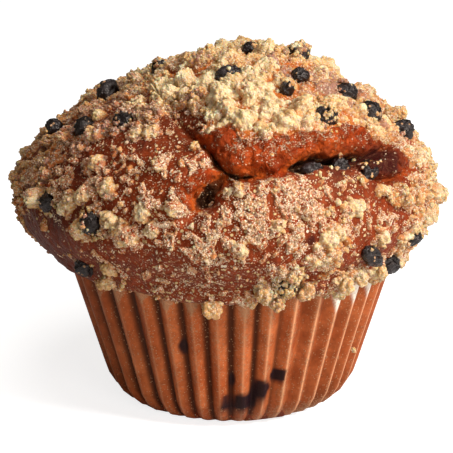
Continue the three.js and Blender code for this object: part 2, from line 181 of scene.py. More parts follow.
CASE_FOOT_RADIUS = 20.0
CASE_PROFILE = [
    (0, 0), (7, 0), (14, 0), (20, 0), (23, 0.35), (25.6, 1.5), (27.7, 3.4), (29.3, 6), (30.3, 9),
]
CASE_TOP = 35.3
CASE_FLARE = 0.3057
CASE_FULL_PLEATS = 27.0
PLEAT_COUNT = 37
FRONT_RIDGES = [
    -78.5, -65, -53.8, -43.3, -31.8, -22.7, -13.6, -4.9, 4.7, 13.8, 22.6, 31.6, 40.2, 48.6,
    57.4, 67.2, 79.2,
]


# ---------------------------------------------------------------- small helpers


def srgb(red, green, blue):
    """Linear colour from 0 to 255 display values."""
    display = np.array([red, green, blue]) / 255
    low = display / 12.92
    high = ((display + 0.055) / 1.055) ** 2.4
    return tuple(float(c) for c in np.where(display < 0.04045, low, high))


def smooth(x, low, high):
    t = np.clip((x - low) / (high - low), 0, 1)
    return t * t * (3 - 2 * t)


def rounded_step(x):
    return np.sqrt(1 - (1 - np.clip(x, 0, 1)) ** 2)


def direction(azimuth, elevation):
    a, e = np.radians(azimuth), np.radians(elevation)
    return np.stack([np.cos(e) * np.sin(a), -np.cos(e) * np.cos(a), np.sin(e)], -1)


def azimuth_of(points):
    return np.degrees(np.arctan2(points[..., 0], -points[..., 1]))


def elevation_of(dirs):
    return np.degrees(np.arcsin(np.clip(dirs[..., 2], -1, 1)))


def unit(vectors):
    return vectors / np.linalg.norm(vectors, axis=-1, keepdims=True)


def swelling(dirs, lobes):
    total = np.zeros(len(dirs))
    for azimuth, elevation, width, height in lobes:
        away = np.degrees(np.arccos(np.clip(dirs @ direction(azimuth, elevation), -1, 1)))
        total += height * np.exp(-((away / width) ** 2))
    return total


def around(azimuth, centre, width):
    away = (azimuth - centre + 180) % 360 - 180
    return np.exp(-((away / width) ** 2))


def waves(points, wavelength, shift):
    """Smooth noise from about -1 to 1 at points in millimetres."""
    return np.array([noise.noise(p) for p in (points / wavelength + shift).tolist()])


def granular(points, size, shift):
    """Rounded grains packed side by side, from 0 in the creases to 1 on top."""
    away = np.array([noise.voronoi(p)[0][0] for p in (points / size + shift).tolist()])
    return np.sqrt(np.clip(1 - (away / 0.9) ** 2, 0, 1))


# ---------------------------------------------------------------- crust of the dome


def crack_curve(crack):
    """A crack's path as unit directions on a smooth curve, each with its opening."""
    path = np.array(crack["path"], float)
    points = direction(path[:, 0], path[:, 1])
    count = len(points)
    spans = count if crack["closed"] else count - 1

    def at(i):
        return points[i % count] if crack["closed"] else points[min(max(i, 0), count - 1)]

    places, openings = [], []
    for i in range(spans):
        a, b, c, d = at(i - 1), at(i), at(i + 1), at(i + 2)
        for t in np.arange(CRACK_STEPS) / CRACK_STEPS:
            place = 2 * b + (c - a) * t + (2 * a - 5 * b + 4 * c - d) * t * t
            places.append(unit(place + (3 * b - a - 3 * c + d) * t ** 3))
            openings.append(path[i, 2] + (path[(i + 1) % count, 2] - path[i, 2]) * t)
    places.append(unit(at(spans)))
    openings.append(path[spans % count, 2])
    return np.array(places), np.array(openings)


CRACKS = [(crack, *crack_curve(crack)) for crack in [CROWN_RIM, *SIDE_CRACKS]]


def nearest_on_crack(dirs, places, openings):
    """Distance from a crack, positive on its high side, and its opening there."""
    best = np.full(len(dirs), np.inf)
    side = np.ones(len(dirs))
    opening = np.zeros(len(dirs))
    for i in range(len(places) - 1):
        a, b = places[i], places[i + 1]
        span = b - a
        t = np.clip((dirs - a) @ span / (span @ span), 0, 1)
        away = np.linalg.norm(dirs - (a + t[:, None] * span), axis=1)
        nearer = away < best
        best = np.where(nearer, away, best)
        side = np.where(nearer, np.where(dirs @ np.cross(a, b) > 0, 1.0, -1.0), side)
        here = openings[i] + t * (openings[i + 1] - openings[i])
        opening = np.where(nearer, here, opening)
    return best * side * CRACK_RADIUS, opening


def wobbled(dirs):
    """Slightly bent directions, so that cracks run unevenly."""
    x, y, z = dirs.T
    bend = np.stack([
        np.sin(9 * y + 4 * z + 1) + 0.6 * np.sin(21 * z - 13 * x),
        np.sin(8 * z + 5 * x + 2) + 0.6 * np.sin(23 * x + 11 * y),
        np.sin(10 * x - 6 * y + 0.5) + 0.7 * np.sin(19 * y + 17 * x),
    ], -1)
    return unit(dirs + CRACK_WOBBLE * bend)


def body_radius(dirs):
    upper = dirs[:, 2] > 0
    half = np.where(upper, CROWN_HEIGHT, UNDERSIDE_DEPTH)
    power = np.where(upper, CROWN_ROUNDING, UNDERSIDE_ROUNDING)
    flat = np.hypot(dirs[:, 0], dirs[:, 1])
    oval = (flat / BELLY_RADIUS) ** power + (np.abs(dirs[:, 2]) / half) ** power
    return oval ** (-1 / power) + swelling(dirs, LOBES)


def ridge_radius(height):
    radius, start = CASE_PROFILE[-1]
    return radius + (height - start) * CASE_FLARE


def edge_height(azimuth):
    ripple, count = EDGE_RIPPLE
    height = EDGE_HEIGHT + ripple * np.sin(np.radians(azimuth) * count)
    for centre, width, change in EDGE_DROOPS:
        height = height + change * around(azimuth, centre, width)
    return height


def edge_roll(dirs):
    """What it takes to close the cake's edge over the rim of the case."""
    azimuth = azimuth_of(dirs)
    height = edge_height(azimuth)
    radius = ridge_radius(height)
    drop = height - DOME_CENTRE[2]
    elevation = np.degrees(np.arctan2(drop, radius))
    reach = np.hypot(radius, drop) + EDGE_OVERLAP
    missing = np.maximum(reach - body_radius(direction(azimuth, elevation)), 0)
    away = elevation_of(dirs) - elevation - EDGE_ROLL_RISE
    return missing * np.exp(-((away / EDGE_ROLL) ** 2))


def crust(dirs):
    """Form of the crust: its radius, the depth of its cracks, how torn it is, the distance
    from the crown's rim and how far the crown's streusel covers it."""
    bent = wobbled(dirs)
    groove = np.zeros(len(dirs))
    torn = np.zeros(len(dirs))
    ground = dirs * CRACK_RADIUS
    ragged = 1.6 * waves(ground, 4.0, 40.0)
    rough = 0.8 * waves(ground, 3.0, 50.0) + 0.4 * waves(ground, 1.3, 60.0)
    for crack, places, openings in CRACKS:
        distance, opening = nearest_on_crack(bent, places, openings)
        gap = crack["gap"] * opening + WIDE_GAP * np.maximum(opening - 1, 0)
        high = rounded_step((distance + rough - gap) / crack["high_side"])
        low = smooth(rough - distance - gap, 0, crack["low_side"])
        wall = np.where(distance > 0, high, low)
        groove = np.maximum(groove, crack["depth"] * opening * (1 - wall))
        bare = crack["bare"] * smooth(opening, 0.55, 0.95) + ragged * opening
        above = 1 - smooth(distance - bare, -0.6, 0.8)
        below = (1 - smooth(-distance, 0.4, 2.0)) * smooth(opening, 0.4, 0.8)
        torn = np.maximum(torn, np.where(distance > 0, above, below))
        if crack is CROWN_RIM:
            rim, covered = distance, smooth(distance - bare, -0.4, 1.4)
            slope = CLOSED_RIM_SLOPE + (crack["high_side"] - CLOSED_RIM_SLOPE) * opening
            step = opening * rounded_step(distance / slope)
            step += (1 - opening) * smooth(distance, 0, slope)
            rise = np.where(distance > 0, step, 0) * swelling(dirs, CROWN_RISE)
    groove = groove * (1 - np.clip(swelling(dirs, BRIDGES), 0, 0.9))
    radius = body_radius(dirs) + rise + edge_roll(dirs) - groove
    covered = covered * (1 - np.clip(swelling(dirs, VALLEY + DUSTED_CROWN), 0, 1))
    return {"radius": radius, "groove": groove, "torn": torn, "rim": rim, "crown": covered}


# ---------------------------------------------------------------- meshes


def coordinates(mesh):
    flat = np.empty(len(mesh.vertices) * 3, np.float32)
    mesh.vertices.foreach_get("co", flat)
    return flat.reshape(-1, 3).astype(float)


def move_vertices(mesh, points):
    mesh.vertices.foreach_set("co", points.astype(np.float32).ravel())
    mesh.update()


def mark(mesh, **marks):
    """Stores values for each vertex that a material reads."""
    for name, values in marks.items():
        stored = mesh.attributes.new(name, "FLOAT", "POINT")
        stored.data.foreach_set("value", np.asarray(values, np.float32))


def new_piece(name, mesh, material, replaces=()):
    mesh.name = name
    mesh.polygons.foreach_set("use_smooth", [True] * len(mesh.polygons))
    mesh.materials.append(material)
    piece = bpy.data.objects.new(name, mesh)
    bpy.context.scene.collection.objects.link(piece)
    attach(piece, "root")
    if replaces:
        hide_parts(*replaces)
    return piece


def mesh_from(bm):
    mesh = bpy.data.meshes.new("piece")
    bm.to_mesh(mesh)
    bm.free()
    return mesh


def ball(subdivisions):
    bm = bmesh.new()
    bmesh.ops.create_icosphere(bm, subdivisions=subdivisions, radius=1)
    return bm


def split_edges(bm, edges, cuts):
    bmesh.ops.subdivide_edges(bm, edges=edges, cuts=cuts, use_grid_fill=True)
    bmesh.ops.triangulate(bm, faces=[f for f in bm.faces if len(f.verts) > 3])


# ---------------------------------------------------------------- materials


def put(tree, node, values):
    """Sets a node's inputs, or links them where the value is another node's output."""
    for key, value in values.items():
        if isinstance(value, bpy.types.NodeSocket):
            tree.links.new(value, node.inputs[key])
        else:
            node.inputs[key].default_value = value


def add_node(tree, kind, values=None, **settings):
    node = tree.nodes.new(kind)
    for key, value in settings.items():
        setattr(node, key, value)
    put(tree, node, values or {})
    return node


def calculate(tree, operation, a, b, clamp=False):
    node = add_node(tree, "ShaderNodeMath", {0: a, 1: b}, operation=operation, use_clamp=clamp)
    return node.outputs[0]


def times(tree, a, b):
    return calculate(tree, "MULTIPLY", a, b)


def plus(tree, a, b):
    return calculate(tree, "ADD", a, b)


def larger(tree, a, b):
    return calculate(tree, "MAXIMUM", a, b)


def soft_step(tree, value, low, high):
    values = {"Value": value, "From Min": low, "From Max": high}
    node = add_node(tree, "ShaderNodeMapRange", values, interpolation_type="SMOOTHSTEP")
    return node.outputs["Result"]


def between(tree, share, at_none, at_all):
    values = {"Value": share, "To Min": at_none, "To Max": at_all}
    return add_node(tree, "ShaderNodeMapRange", values).outputs["Result"]


def opaque(colour):
    return colour if isinstance(colour, bpy.types.NodeSocket) else (*colour[:3], 1.0)


def layered(tree, colour, coats):
    """Lays colours over the first one, each as far as its share says."""
    for share, coat in coats:
        values = {0: share, 6: opaque(colour), 7: opaque(coat)}
        mix = add_node(tree, "ShaderNodeMix", values, data_type="RGBA", clamp_factor=True)
        colour = mix.outputs[2]
    return colour


def attribute(tree, name):
    return add_node(tree, "ShaderNodeAttribute", attribute_name=name).outputs["Fac"]


def new_group(name, inputs, outputs):
    """A group that takes a place and some numbers; also its scale, from the input Size."""
    group = bpy.data.node_groups.new(name, "ShaderNodeTree")
    add_socket = group.interface.new_socket
    add_socket("Vector", in_out="INPUT", socket_type="NodeSocketVector")
    for label, default in inputs.items():
        socket = add_socket(label, in_out="INPUT", socket_type="NodeSocketFloat")
        socket.default_value = default
    for label in outputs:
        add_socket(label, in_out="OUTPUT", socket_type="NodeSocketFloat")
    start = group.nodes.new("NodeGroupInput").outputs
    end = group.nodes.new("NodeGroupOutput")
    return group, start, end, calculate(group, "DIVIDE", 1.0, start["Size"])


def cells(group, start, scale):
    """Distance from the middle of the nearest cell, and that cell's random numbers."""
    values = {"Vector": start["Vector"], "Scale": scale}
    found = add_node(group, "ShaderNodeTexVoronoi", values).outputs
    draw = add_node(group, "ShaderNodeSeparateColor", {"Color": found["Color"]})
    return found["Distance"], draw.outputs


def specks_group():
    """Scattered specks, one in each cell where a draw is below the density."""
    inputs = {"Size": 0.0005, "Density": 0.5}
    group, start, end, scale = new_group("Specks", inputs, ["Mask", "Tone"])
    away, draw = cells(group, start, scale)
    there = calculate(group, "LESS_THAN", draw["Red"], start["Density"])
    mask = times(group, there, soft_step(group, away, 0.66, 0.42))
    put(group, end, {"Mask": mask, "Tone": draw["Green"]})
    return group


def mottle_group():
    """Soft uneven patches of a given size, with adjustable contrast."""
    inputs = {"Size": 0.005, "Contrast": 0.2}
    group, start, end, scale = new_group("Mottle", inputs, ["Value"])
    values = {"Vector": start["Vector"], "Scale": scale, "Detail": 4.0, "Roughness": 0.6}
    cloud = add_node(group, "ShaderNodeTexNoise", values).outputs["Fac"]
    low = calculate(group, "SUBTRACT", 0.5, start["Contrast"])
    high = plus(group, 0.5, start["Contrast"])
    put(group, end, {"Value": soft_step(group, cloud, low, high)})
    return group


def granules_group():
    """Grains packed side by side: how high, which tone each one has, and the creases, which the
    streusel darkens as painted shade.
    """
    group, start, end, scale = new_group("Granules", {"Size": 0.0005}, ["Height", "Tone", "CreaseShade"])
    away, draw = cells(group, start, scale)
    height, crease_shade = soft_step(group, away, 0.9, 0.0), soft_step(group, away, 0.45, 0.85)
    put(group, end, {"Height": height, "Tone": draw["Green"], "CreaseShade": crease_shade})
    return group


GROUPS = {"Specks": specks_group, "Mottle": mottle_group, "Granules": granules_group}


def place_group(tree, name, where, size, **values):
    """Places a group, which is built when the first material asks for it."""
    group = bpy.data.node_groups.get(name) or GROUPS[name]()
    values.update(Vector=where, Size=size)
    return add_node(tree, "ShaderNodeGroup", values, node_tree=group).outputs


def mottled(tree, where, size, contrast):
    return place_group(tree, "Mottle", where, size, Contrast=contrast)["Value"]


def speckled(tree, where, size, density):
    return place_group(tree, "Specks", where, size, Density=density)


def new_material(name):
    material = bpy.data.materials.new(name)
    material.use_nodes = True
    tree = material.node_tree
    shader = tree.nodes["Principled BSDF"]
    where = add_node(tree, "ShaderNodeTexCoord").outputs["Object"]
    return material, tree, shader, where


BUTTERY = (1.0, 0.5, 0.22, 1.0)


def feed(tree, shader, colour, roughness, height, distance, gloss=0.25, tint=BUTTERY):
    bump = add_node(tree, "ShaderNodeBump", {"Height": height, "Distance": distance})
    put(tree, shader, {
        "Base Color": colour, "Roughness": roughness, "Specular IOR Level": gloss,
        "Specular Tint": tint, "Normal": bump.outputs["Normal"],
    })


def crust_material(colours):
    material, tree, shader, where = new_material("baked_crust")
    torn, groove, stained = (attribute(tree, name) for name in ("torn", "groove", "stained"))
    patches = mottled(tree, where, 0.006, 0.22)
    fine = times(tree, mottled(tree, where, 0.0011, 0.2), 0.5)
    pores = mottled(tree, where, 0.0026, 0.14)
    broken = mottled(tree, where, 0.0014, 0.16)

    density = times(tree, attribute(tree, "dusted"), between(tree, broken, 0.15, 1.3))
    density = larger(tree, density, attribute(tree, "powdered"))
    density = times(tree, density, between(tree, stained, 1, 0.15))
    small = speckled(tree, where, 0.00034, density)
    large = speckled(tree, where, 0.0007, times(tree, density, between(tree, torn, 0.4, 0)))
    covered = larger(tree, small["Mask"], large["Mask"])
    lit = larger(tree, soft_step(tree, groove, 0.8, 3.4), times(tree, patches, 0.5))
    wall = layered(tree, colours.torn, [
        (lit, colours.torn_light), (times(tree, pores, 0.7), colours.torn_deep),
    ])
    small_dust = [(soft_step(tree, small["Tone"], 0, 0.6), colours.dust)]
    large_dust = [(soft_step(tree, large["Tone"], 0, 0.5), colours.streusel)]
    colour = layered(tree, colours.crust, [
        (patches, colours.crust_light),
        # Browning, and painted shade on the left flank and in the valley beside the crown.
        (attribute(tree, "baked"), colours.crust_browned_and_shaded),
        (fine, colours.crust_deep),
        (torn, wall),
        # Painted shade at the bottom of deep cracks.
        (soft_step(tree, groove, 3.4, 4.7), colours.crack),
        (stained, colours.juice),
        (large["Mask"], layered(tree, colours.sugar, large_dust)),
        (times(tree, small["Mask"], 0.7), layered(tree, colours.sugar, small_dust)),
    ])
    pits = times(tree, times(tree, pores, torn), 2.0)
    height = plus(tree, plus(tree, fine, covered), pits)
    feed(tree, shader, colour, between(tree, covered, 0.36, 0.8), height, 0.0003)
    return material


def streusel_material(colours):
    """Pale where it stands out, with painted golden shade in its hollows, between its grains and
    down the sides of its balls, browner where it is toasted.
    """
    material, tree, shader, where = new_material("streusel")
    grains = place_group(tree, "Granules", where, 0.00055)
    grain = speckled(tree, where, 0.00045, 0.35)
    powder = speckled(tree, where, 0.00036, 0.72)
    uneven = times(tree, calculate(tree, "SUBTRACT", grains["Tone"], 0.5), 0.3)
    tone = plus(tree, attribute(tree, "tone"), uneven)
    # Painted shade, warm like light that has passed through crumb: low on the crown, in creases and
    # down the sides of balls.
    hollow_shade = larger(tree, attribute(tree, "depth"), times(tree, grains["CreaseShade"], 0.2))
    powder_dust = [(soft_step(tree, powder["Tone"], 0.1, 0.8), colours.dust)]
    lace = layered(tree, colours.crust_light, [
        (mottled(tree, where, 0.0012, 0.12), colours.dust),
        (powder["Mask"], layered(tree, colours.sugar, powder_dust)),
    ])
    colour = layered(tree, colours.streusel, [
        (mottled(tree, where, 0.0026, 0.2), colours.streusel_pale),
        (soft_step(tree, tone, 0.15, 0.55), colours.streusel_golden),
        (soft_step(tree, tone, 0.45, 0.85), colours.streusel_brown),
        (hollow_shade, colours.streusel_hollow_shade),
        (times(tree, grain["Mask"], 0.5), colours.sugar),
        (attribute(tree, "sugared"), lace),
    ])
    height = plus(tree, grains["Height"], grain["Mask"])
    feed(tree, shader, colour, 0.8, height, 0.00014, gloss=0.15)
    # Light that enters crumb comes out warmer a little farther on.
    put(tree, shader, {
        "Subsurface Weight": 0.4, "Subsurface Radius": (1, 0.45, 0.18), "Subsurface Scale": 0.0012,
    })
    return material


def sugar_material(colours):
    material, tree, shader, where = new_material("sugar")
    colour = layered(tree, colours.sugar, [(attribute(tree, "tone"), colours.dust)])
    feed(tree, shader, colour, 0.35, mottled(tree, where, 0.0004, 0.3), 0.00005)
    return material


def berry_material(colours):
    material, tree, shader, where = new_material("berry_skin")
    patches = mottled(tree, where, 0.0025, 0.15)
    grain = speckled(tree, where, 0.0006, 0.05)["Mask"]
    bloom = times(tree, patches, attribute(tree, "bloom"))
    colour = layered(tree, colours.berry, [(bloom, colours.bloom), (grain, colours.dust)])
    height = plus(tree, times(tree, mottled(tree, where, 0.0007, 0.3), 0.6), grain)
    rough = between(tree, patches, 0.12, 0.4)
    feed(tree, shader, colour, rough, height, 0.0003, gloss=0.5, tint=(1, 0.86, 0.78, 1))
    return material


def paper_material(colours):
    """Baking paper soaked with fat, with painted shade in the folds and on the left, a painted
    highlight along the ridges, dusted with sugar at the top.
    """
    material, tree, shader, where = new_material("baked_paper")
    film = attribute(tree, "film")
    blotches = times(tree, mottled(tree, where, 0.004, 0.14), 0.22)
    fibres = times(tree, mottled(tree, where, 0.0008, 0.25), 0.3)
    grain = speckled(tree, where, 0.0003, film)["Mask"]
    veil = times(tree, calculate(tree, "SUBTRACT", film, 0.25, clamp=True), 0.6)
    colour = layered(tree, colours.paper, [
        (mottled(tree, where, 0.011, 0.16), colours.paper_light),
        # Fat-soaked blotches, and painted shade on the left of the case with darkening towards the
        # bottom and on the right.
        (plus(tree, blotches, attribute(tree, "shade_and_darkening")), colours.paper_soak_and_shade),
        (fibres, colours.paper_soak_and_shade),
        # Painted shade in the folds of the pleats.
        (soft_step(tree, attribute(tree, "fold"), 0.35, 0.95), colours.paper_soak_and_shade),
        # Painted highlight along the ridges.
        (attribute(tree, "ridge"), colours.paper_ridge_highlight),
        (attribute(tree, "stain"), colours.stain),
        (attribute(tree, "dry"), colours.paper_dry),
        (veil, colours.dust),
        (times(tree, grain, 0.6), colours.dust),
    ])
    feed(tree, shader, colour, 0.5, plus(tree, fibres, grain), 0.00012)
    return material


# ---------------------------------------------------------------- where toppings lie

# Regions of the flanks: azimuth, elevation, width (degrees), amount added.
CRUMB_AMOUNT = 0.38
CRUMB_REGIONS = [
    (60, 6, 18, 0.1), (84, 5, 24, 0.2), (-38, 4, 15, 0.05), (40, -9, 9, -0.25), (-75, 14, 20, 0.1),
    (-72, 30, 22, 0.25), (-90, 30, 9, -0.4), (-45, 33, 14, 0.1), (-20, -15, 22, -0.5),
    (-62, -16, 16, -0.6), (-21, 33, 8, -0.3), (5, -16, 14, -0.2), (33, -15, 12, 0.2),
    (-8, 14, 9, -0.2), (150, 5, 40, 0.25), (-150, 0, 40, 0.25), (-34, 24, 9, -0.35),
    (20, 13, 12, -0.15), (44, 10, 10, -0.1),
]
SUGAR_AMOUNT = 0.5
SUGAR_REGIONS = [
    (-4, 5, 22, 0.22), (-25, 12, 16, 0.12), (22, 12, 20, 0.2), (60, 10, 24, 0.16),
    (-15, -19, 24, -0.3), (-62, -14, 16, -0.4), (-75, 12, 24, 0.15), (-28, 29, 12, -0.1),
    (-20, 34, 9, -0.2), (46, 3, 14, -0.12), (-60, 32, 18, -0.15), (42, -8, 12, -0.15),
    (38, 12, 12, -0.12), (-66, -10, 14, -0.4), (-18, 15, 6, -0.2), (-46, 26, 9, -0.2),
    (52, 13, 8, -0.2), (-48, -4, 12, -0.15),
]
TOPPED_FROM = -23  # degrees of elevation
CLEAN_CRUST = [(-60, -13, 13, 0.9), (-72, -18, 14, 0.8), (-33, -10, 8, 0.5)]
# Crust stained by berry juice: azimuth, elevation, width (degrees), strength.
JUICE = [
    (53, 17, 5.5, 1.4), (44, 17.5, 4.5, 1.0), (32, 17.5, 5, 0.8), (63, -9, 5, 0.5),
    (-45, 7.5, 2.6, 0.9), (-49.5, 14, 3.2, 0.7), (-54, 0, 3.5, 0.8), (-36, 13, 2.2, 0.6),
    (-30, 26, 3.0, 0.6), (21, 0.5, 1.4, 1.6),
]
# How brown the streusel is baked: azimuth, elevation, width (degrees), change.
BROWNING = 0.33
BROWNING_REGIONS = [
    (-4, 50, 28, -0.14), (-35, 8, 25, 0.05), (-78, 8, 28, 0.2), (-65, 35, 20, 0.45),
    (-42, 27, 15, 0.45), (-38, 6, 15, 0.15), (60, 48, 22, 0.45), (88, 28, 18, 0.2),
    (4, 48, 20, -0.2), (40, 60, 12, 0.25), (30, 42, 6, 0.2), (-40, 43, 5, 0.2), (20, 42, 12, -0.1),
    (-32, 53, 10, -0.4), (-8, 68, 16, 0.2), (38, -12, 18, 0.1), (-20, 34, 9, 0.5),
    (-18, 44, 6, 0.5),
]


def berry_clearance(dirs):
    """0 over the middle of a berry, 1 away from it."""
    clear = np.ones(len(dirs))
    for outwards, half_size in BERRY_PLACES:
        away = CRACK_RADIUS * np.linalg.norm(dirs - outwards, axis=1)
        clear = np.minimum(clear, smooth(away, 0.8 * half_size, 1.3 * half_size))
    return clear


def flank_cover(dirs, skin):
    """Where clumps of streusel and where sugared crumbs cover the flanks, from 0 to 1."""
    places = dirs * CRACK_RADIUS
    open_crust = (1 - skin["crown"]) * smooth(elevation_of(dirs), TOPPED_FROM - 2, TOPPED_FROM + 2)
    open_crust = open_crust * (1 - np.clip(swelling(dirs, JUICE), 0, 0.9))
    amount = np.clip(CRUMB_AMOUNT + swelling(dirs, CRUMB_REGIONS), 0, 1)
    uneven = 0.9 * waves(places, 5.0, 12.5) + 0.6 * waves(places, 2.2, 17.5)
    clumps = smooth(uneven + 1.1 * (amount - 0.62), -0.08, 0.18)
    amount = np.clip(SUGAR_AMOUNT + swelling(dirs, SUGAR_REGIONS), 0, 1)
    uneven = 0.7 * waves(places, 1.7, 31.5) + 0.5 * waves(places, 5.5, 21.5)
    lace = smooth(uneven + 1.0 * (amount - 0.6), -0.06, 0.14)
    clumps = clumps * open_crust * (1 - 0.97 * skin["torn"])
    lace = lace * (1 - 0.9 * skin["torn"] * smooth(skin["groove"], 0.4, 1.6))
    return clumps, lace * open_crust


def browned(dirs):
    """How brown the toppings are, from pale (0) to toasted (1)."""
    uneven = 0.22 * waves(dirs * CRACK_RADIUS, 9.0, 3.9)
    return np.clip(BROWNING + swelling(dirs, BROWNING_REGIONS) + uneven, 0, 1)


# ---------------------------------------------------------------- cake

CAKE_DETAIL = 5
CAKE_CUTS = 6
LOWEST_FINE_FACE = -0.42
CROWN_SUNK = 2.2  # the crust below the crown's streusel
# The plug inside the case: how far it stays from the wall, its base and its top.
PLUG_INSET = 3.0
PLUG_BASE = 1.0
PLUG_TOP = EDGE_HEIGHT - 3.0


def cake_mesh():
    bm = ball(CAKE_DETAIL)
    fine = [f for f in bm.faces if f.calc_center_median().z > LOWEST_FINE_FACE]
    split_edges(bm, list({e for f in fine for e in f.edges}), CAKE_CUTS)
    return mesh_from(bm)


def plug_radius(dirs):
    """Distance to the inside of the case, for directions that leave through it."""
    flat = np.maximum(np.hypot(dirs[:, 0], dirs[:, 1]), 1e-6)
    down = np.minimum(dirs[:, 2], -1e-6)
    wall = (ridge_radius(DOME_CENTRE[2]) - PLUG_INSET) / (flat - CASE_FLARE * down)
    base = (DOME_CENTRE[2] - PLUG_BASE) / -down
    reach = np.minimum(wall, base)
    height = DOME_CENTRE[2] + reach * down
    return np.where((dirs[:, 2] < 0) & (height < PLUG_TOP), reach, 0)


def crust_relief(points, skin):
    """Small unevenness of the baked surface, in millimetres."""
    soft = 0.5 * waves(points, 7.0, 3.1) + 0.3 * waves(points, 3.2, 9.7)
    pimples = 0.25 * waves(points, 1.5, 5.3) + 0.15 * waves(points, 0.95, 1.9)
    tears = 1.0 * waves(points, 4.2, 14.1) + 0.9 * waves(points, 2.0, 24.1)
    tears -= 1.1 * np.abs(waves(points, 3.0, 34.1)) + 0.8 * np.abs(waves(points, 1.4, 44.1)) - 0.4
    return soft + pimples + tears * skin["torn"]


def crust_browning_and_shade(dirs):
    """How dark the crust is: browned by baking, with painted shade on the left flank, the side away
    from the key light, and in the valley beside the crown; also darker towards the bottom.
    """
    azimuth, elevation = azimuth_of(dirs), elevation_of(dirs)
    left = smooth(-azimuth, 30, 75) * smooth(azimuth, -175, -120)
    valley_shade = np.clip(swelling(dirs, VALLEY), 0, 1)
    low = 1 - smooth(elevation, -16, 4)
    return np.clip(0.7 * left + 0.12 * low + 0.7 * valley_shade, 0, 1)


POWDER = 0.16
POWDER_AT_EDGE = [(-8, -15, 22, 1.0)]


def powdered(dirs, skin):
    """Share of the crust that single grains of fine sugar cover."""
    clean = np.clip(swelling(dirs, CLEAN_CRUST), 0, 1)
    places = dirs * CRACK_RADIUS
    clusters = smooth(0.8 * waves(places, 2.4, 71.1) + 0.5 * waves(places, 1.1, 81.3), -0.15, 0.55)
    on_walls = 0.55 * clusters * (1 - smooth(skin["groove"], 0.4, 2.6))
    low = 0.2 * np.clip(swelling(dirs, POWDER_AT_EDGE), 0, 1)
    return (POWDER + low + (on_walls - POWDER) * skin["torn"]) * (1 - clean)


class MUFFIN_OT_cake(bpy.types.Operator):
    """Build the cake with its mushroom top, its cracks and its browned crust"""

    bl_idname = "muffin.cake"
    bl_label = "Cake"

    def execute(self, context):
        mesh = cake_mesh()
        dirs = unit(coordinates(mesh))
        skin = crust(dirs)
        points = dirs * skin["radius"][:, None]
        _, dusted = flank_cover(dirs, skin)
        dome = skin["radius"] + crust_relief(points, skin) - CROWN_SUNK * skin["crown"]
        radius = np.maximum(dome, plug_radius(dirs))
        move_vertices(mesh, (dirs * radius[:, None] + DOME_CENTRE) * MM)
        # baked holds the browning and the painted shade of the crust.
        mark(
            mesh, baked=crust_browning_and_shade(dirs), dusted=dusted, torn=skin["torn"],
            groove=skin["groove"], powdered=powdered(dirs, skin),
            stained=np.clip(swelling(dirs, JUICE), 0, 1),
        )
        material = crust_material(context.scene.muffin_colours)
        new_piece("cake", mesh, material, replaces=["cake"])
        return {"FINISHED"}


# ---------------------------------------------------------------- pressed streusel

COVER_DETAIL = 6
COVER_SKIRT = 4.0
HIDDEN_BELOW = 0.4
CROWN_BED = 1.7
CROWN_FROM = -1.5
LOWEST_COVER = -26
LOWEST_DRAWN = -0.45  # height of a direction with length 1
CRUMBS_PER_CLUMP = 26
# Crumbs along the crown's rim: how far from it, in millimetres, and azimuths.
RIM_CRUMBS_WIDTH = 11.5
RIM_CRUMBS_MIDDLE = 15
RIM_CRUMBS_REACH = 60
# Patches that the pressed streusel is made in: whether on the crown, azimuths from and to,
# and the cuts of each edge.
PATCHES = {
    "crown": (True, -95, 95, 7), "crown_back": (True, 95, 265, 4),
    "left": (False, -105, -35, 8), "front": (False, -35, 35, 8), "right": (False, 35, 105, 8),
    "back": (False, 105, 255, 3),
}


def patch_faces(dirs, name):
    on_crown, start, end, _ = PATCHES[name]
    crown = crust(dirs)["rim"] > CROWN_FROM
    inside = (azimuth_of(dirs) - start) % 360 < end - start
    if on_crown:
        return crown & inside
    return ~crown & inside & (elevation_of(dirs) > LOWEST_COVER)


def cover_mesh(name):
    """One patch of the dome, finely divided."""
    bm = ball(COVER_DETAIL)
    centres = unit(np.array([f.calc_center_median() for f in bm.faces]))
    keep = patch_faces(centres, name)
    outside = [f for f, kept in zip(bm.faces, keep) if not kept]
    bmesh.ops.delete(bm, geom=outside, context="FACES")
    split_edges(bm, bm.edges[:], PATCHES[name][3])
    return bm


def close_back(bm):
    """Draws the open edges down below the crust and closes them."""
    rim = [e for e in bm.edges if e.is_boundary]
    skirt = bmesh.ops.extrude_edge_only(bm, edges=rim)["geom"]
    lowered = [v for v in skirt if isinstance(v, bmesh.types.BMVert)]
    centre = Vector(DOME_CENTRE * MM)
    for vert in lowered:
        away = vert.co - centre
        vert.co = centre + away * (1 - COVER_SKIRT * MM / away.length)
    bottom = [e for e in skirt if isinstance(e, bmesh.types.BMEdge)]
    filled = bmesh.ops.contextual_create(bm, geom=bottom)["faces"]
    bmesh.ops.triangulate(bm, faces=filled)
    bmesh.ops.recalc_face_normals(bm, faces=bm.faces[:])


def drawn_directions(rng, count, share):
    """Random directions on the dome, more of them where the share is high."""
    found, total = [], 0
    while total < count:
        azimuth = rng.uniform(-180, 180, 3 * count)
        elevation = np.degrees(np.arcsin(rng.uniform(LOWEST_DRAWN, 1, 3 * count)))
        dirs = direction(azimuth, elevation)
        dirs = dirs[rng.random(len(dirs)) < share(dirs, crust(dirs))]
        found.append(dirs)
        total += len(dirs)
    return np.concatenate(found)[:count]


